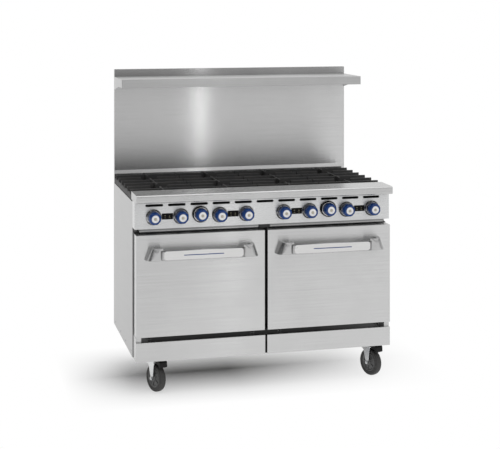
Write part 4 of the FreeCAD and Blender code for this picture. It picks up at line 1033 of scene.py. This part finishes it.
def floor():
    """A pale studio floor that fades into the white backdrop away from the range. Under the range a white
    glow is mixed into its shadow, most towards the right and towards the front and back edges: painted light.
    """
    mesh = bmesh.new()
    bmesh.ops.create_grid(mesh, x_segments=1, y_segments=1, size=60)
    data = bpy.data.meshes.new("studio_floor")
    mesh.to_mesh(data)
    mesh.free()
    made = bpy.data.objects.new("studio_floor", data)
    bpy.context.scene.collection.objects.link(made)
    made.location.z = cad_low.z - 0.2 * MM
    s = Surface("studio_floor")
    cloud = s.noise(0.7, 2.0)
    paint = s.add(
        "BsdfPrincipled",
        {"Base Color": s.shade(cloud, grey(0.93), grey(0.95)), "Roughness": 0.95, "Specular IOR Level": 0.0},
    )
    backdrop_and_painted_glow = s.add("Emission", {"Color": (1, 1, 1, 1), "Strength": 1.0})
    parts = s.add("SeparateXYZ", {0: s.place})
    # where east, right and north multiply to less than 1, the glow replaces the lit floor: past the range's
    # sides that is the plain white backdrop; under the range it is painted light that lifts the shadow
    east = s.span(s.sum("ABSOLUTE", parts.outputs[0], 0.0), 1.0, 0.0, cad_high.x, cad_high.x + 0.3)
    # painted light: towards the range's right side up to 70% glow is mixed into the shadow
    right = s.span(parts.outputs[0], 1.0, 0.3, -0.1, cad_high.x)
    north = s.span(s.sum("ABSOLUTE", parts.outputs[1], 0.0), 1.0, 0.0, 0.0, cad_high.y + 0.12)
    shown = s.sum("MULTIPLY", s.sum("MULTIPLY", east, right), north)
    mixed = s.add("MixShader", {0: shown, 1: backdrop_and_painted_glow.outputs[0], 2: paint.outputs[0]})
    s.add("OutputMaterial", {"Surface": mixed.outputs[0]})
    data.materials.append(s.material)


def world():
    """White backdrop for the camera. In reflections: a pale sky, a greyer room, dark to the sides."""
    scene = bpy.context.scene
    made = bpy.data.worlds.new("studio")
    scene.world = made
    made.use_nodes = True
    tree = made.node_tree
    tree.nodes.clear()

    def add(kind, inputs=None, **settings):
        return add_node(tree, kind, inputs, **settings)

    def span(value, start, end, low, high):
        return add("MapRange", {0: value, 1: start, 2: end, 3: low, 4: high}).outputs[0]

    direction = add("TexCoord").outputs["Generated"]
    parts = add("SeparateXYZ", {0: direction})
    height = span(parts.outputs[2], 0.0, 0.55, 0.62, 1.0)
    behind = span(parts.outputs[1], 0.1, 0.6, 0.0, 1.0)
    beside = add("Math", {0: parts.outputs[0]}, operation="ABSOLUTE").outputs[0]
    flag = span(beside, 0.6, 0.9, 1.0, 0.25)
    slope = span(parts.outputs[0], 0.09, 0.32, 0.52, 1.06)
    flag = add("Math", {0: slope, 1: flag}, operation="MULTIPLY").outputs[0]
    front = add("Math", {0: height, 1: flag}, operation="MULTIPLY").outputs[0]
    level = add("Mix", {0: behind, 2: front, 3: 0.95}).outputs[0]
    seen = add("LightPath").outputs["Is Camera Ray"]
    strength = add("Mix", {0: seen, 2: level, 3: 1.0}).outputs[0]
    background = add("Background", {0: (1, 1, 1, 1), 1: strength})
    add("OutputWorld", {0: background.outputs[0]})


def area_light(name, place, target, size, power):
    data = bpy.data.lights.new(name, "AREA")
    data.shape = "RECTANGLE"
    data.size, data.size_y = size
    data.energy = power
    made = bpy.data.objects.new(name, data)
    bpy.context.scene.collection.objects.link(made)
    made.location = place
    made.rotation_euler = (Vector(target) - Vector(place)).to_track_quat("-Z", "Y").to_euler()


def lights():
    area_light("top_softbox", (0.3, -0.6, 4.2), (0, 0, 0.4), (3.0, 3.0), 26)
    area_light("left_softbox", (-3.6, -3.4, 3.0), (0, 0, 0.8), (2.0, 2.4), 5)
    area_light("strip_lamp", (1.03, -5.8, 1.9), (0.2, 0, 1.2), (0.06, 3.2), 2.2)


def camera():
    """The picture's own viewpoint: level, long-lensed, with the frame shifted down and left.
    The shifts apply only while the camera keeps its Euler turn, so other views stay centred."""
    data = bpy.data.cameras.new("camera")
    made = bpy.data.objects.new("camera", data)
    bpy.context.scene.collection.objects.link(made)
    made.location = (-1.4512, -6.2511, 1.78)
    made.rotation_euler = (math.radians(90), 0, math.radians(-15.04))
    data.lens = 94.13
    data.sensor_width = 36
    data.clip_end = 200
    for path, amount in (("shift_x", -0.088), ("shift_y", -0.441)):
        driver = data.driver_add(path).driver
        variable = driver.variables.new()
        variable.name = "mode"
        variable.targets[0].id_type = "OBJECT"
        variable.targets[0].id = made
        variable.targets[0].data_path = "rotation_quaternion[0]"
        driver.type = "SCRIPTED"
        driver.expression = f"{amount} if mode > 0.99999 else 0.0"
    bpy.context.scene.camera = made
    bpy.context.scene.view_settings.view_transform = "Standard"


finish_kept_nodes()
guard_trim()
kick_returns()
toe_gap_shade_sheet()
controls()
for side in ("left", "right"):
    handle_grip(side)
    handle_brackets(side)
for name in BURNERS:
    grate(name)
burner_heads()
for corner in CASTERS:
    caster(corner)
body_screws()
floor()
world()
lights()
camera()
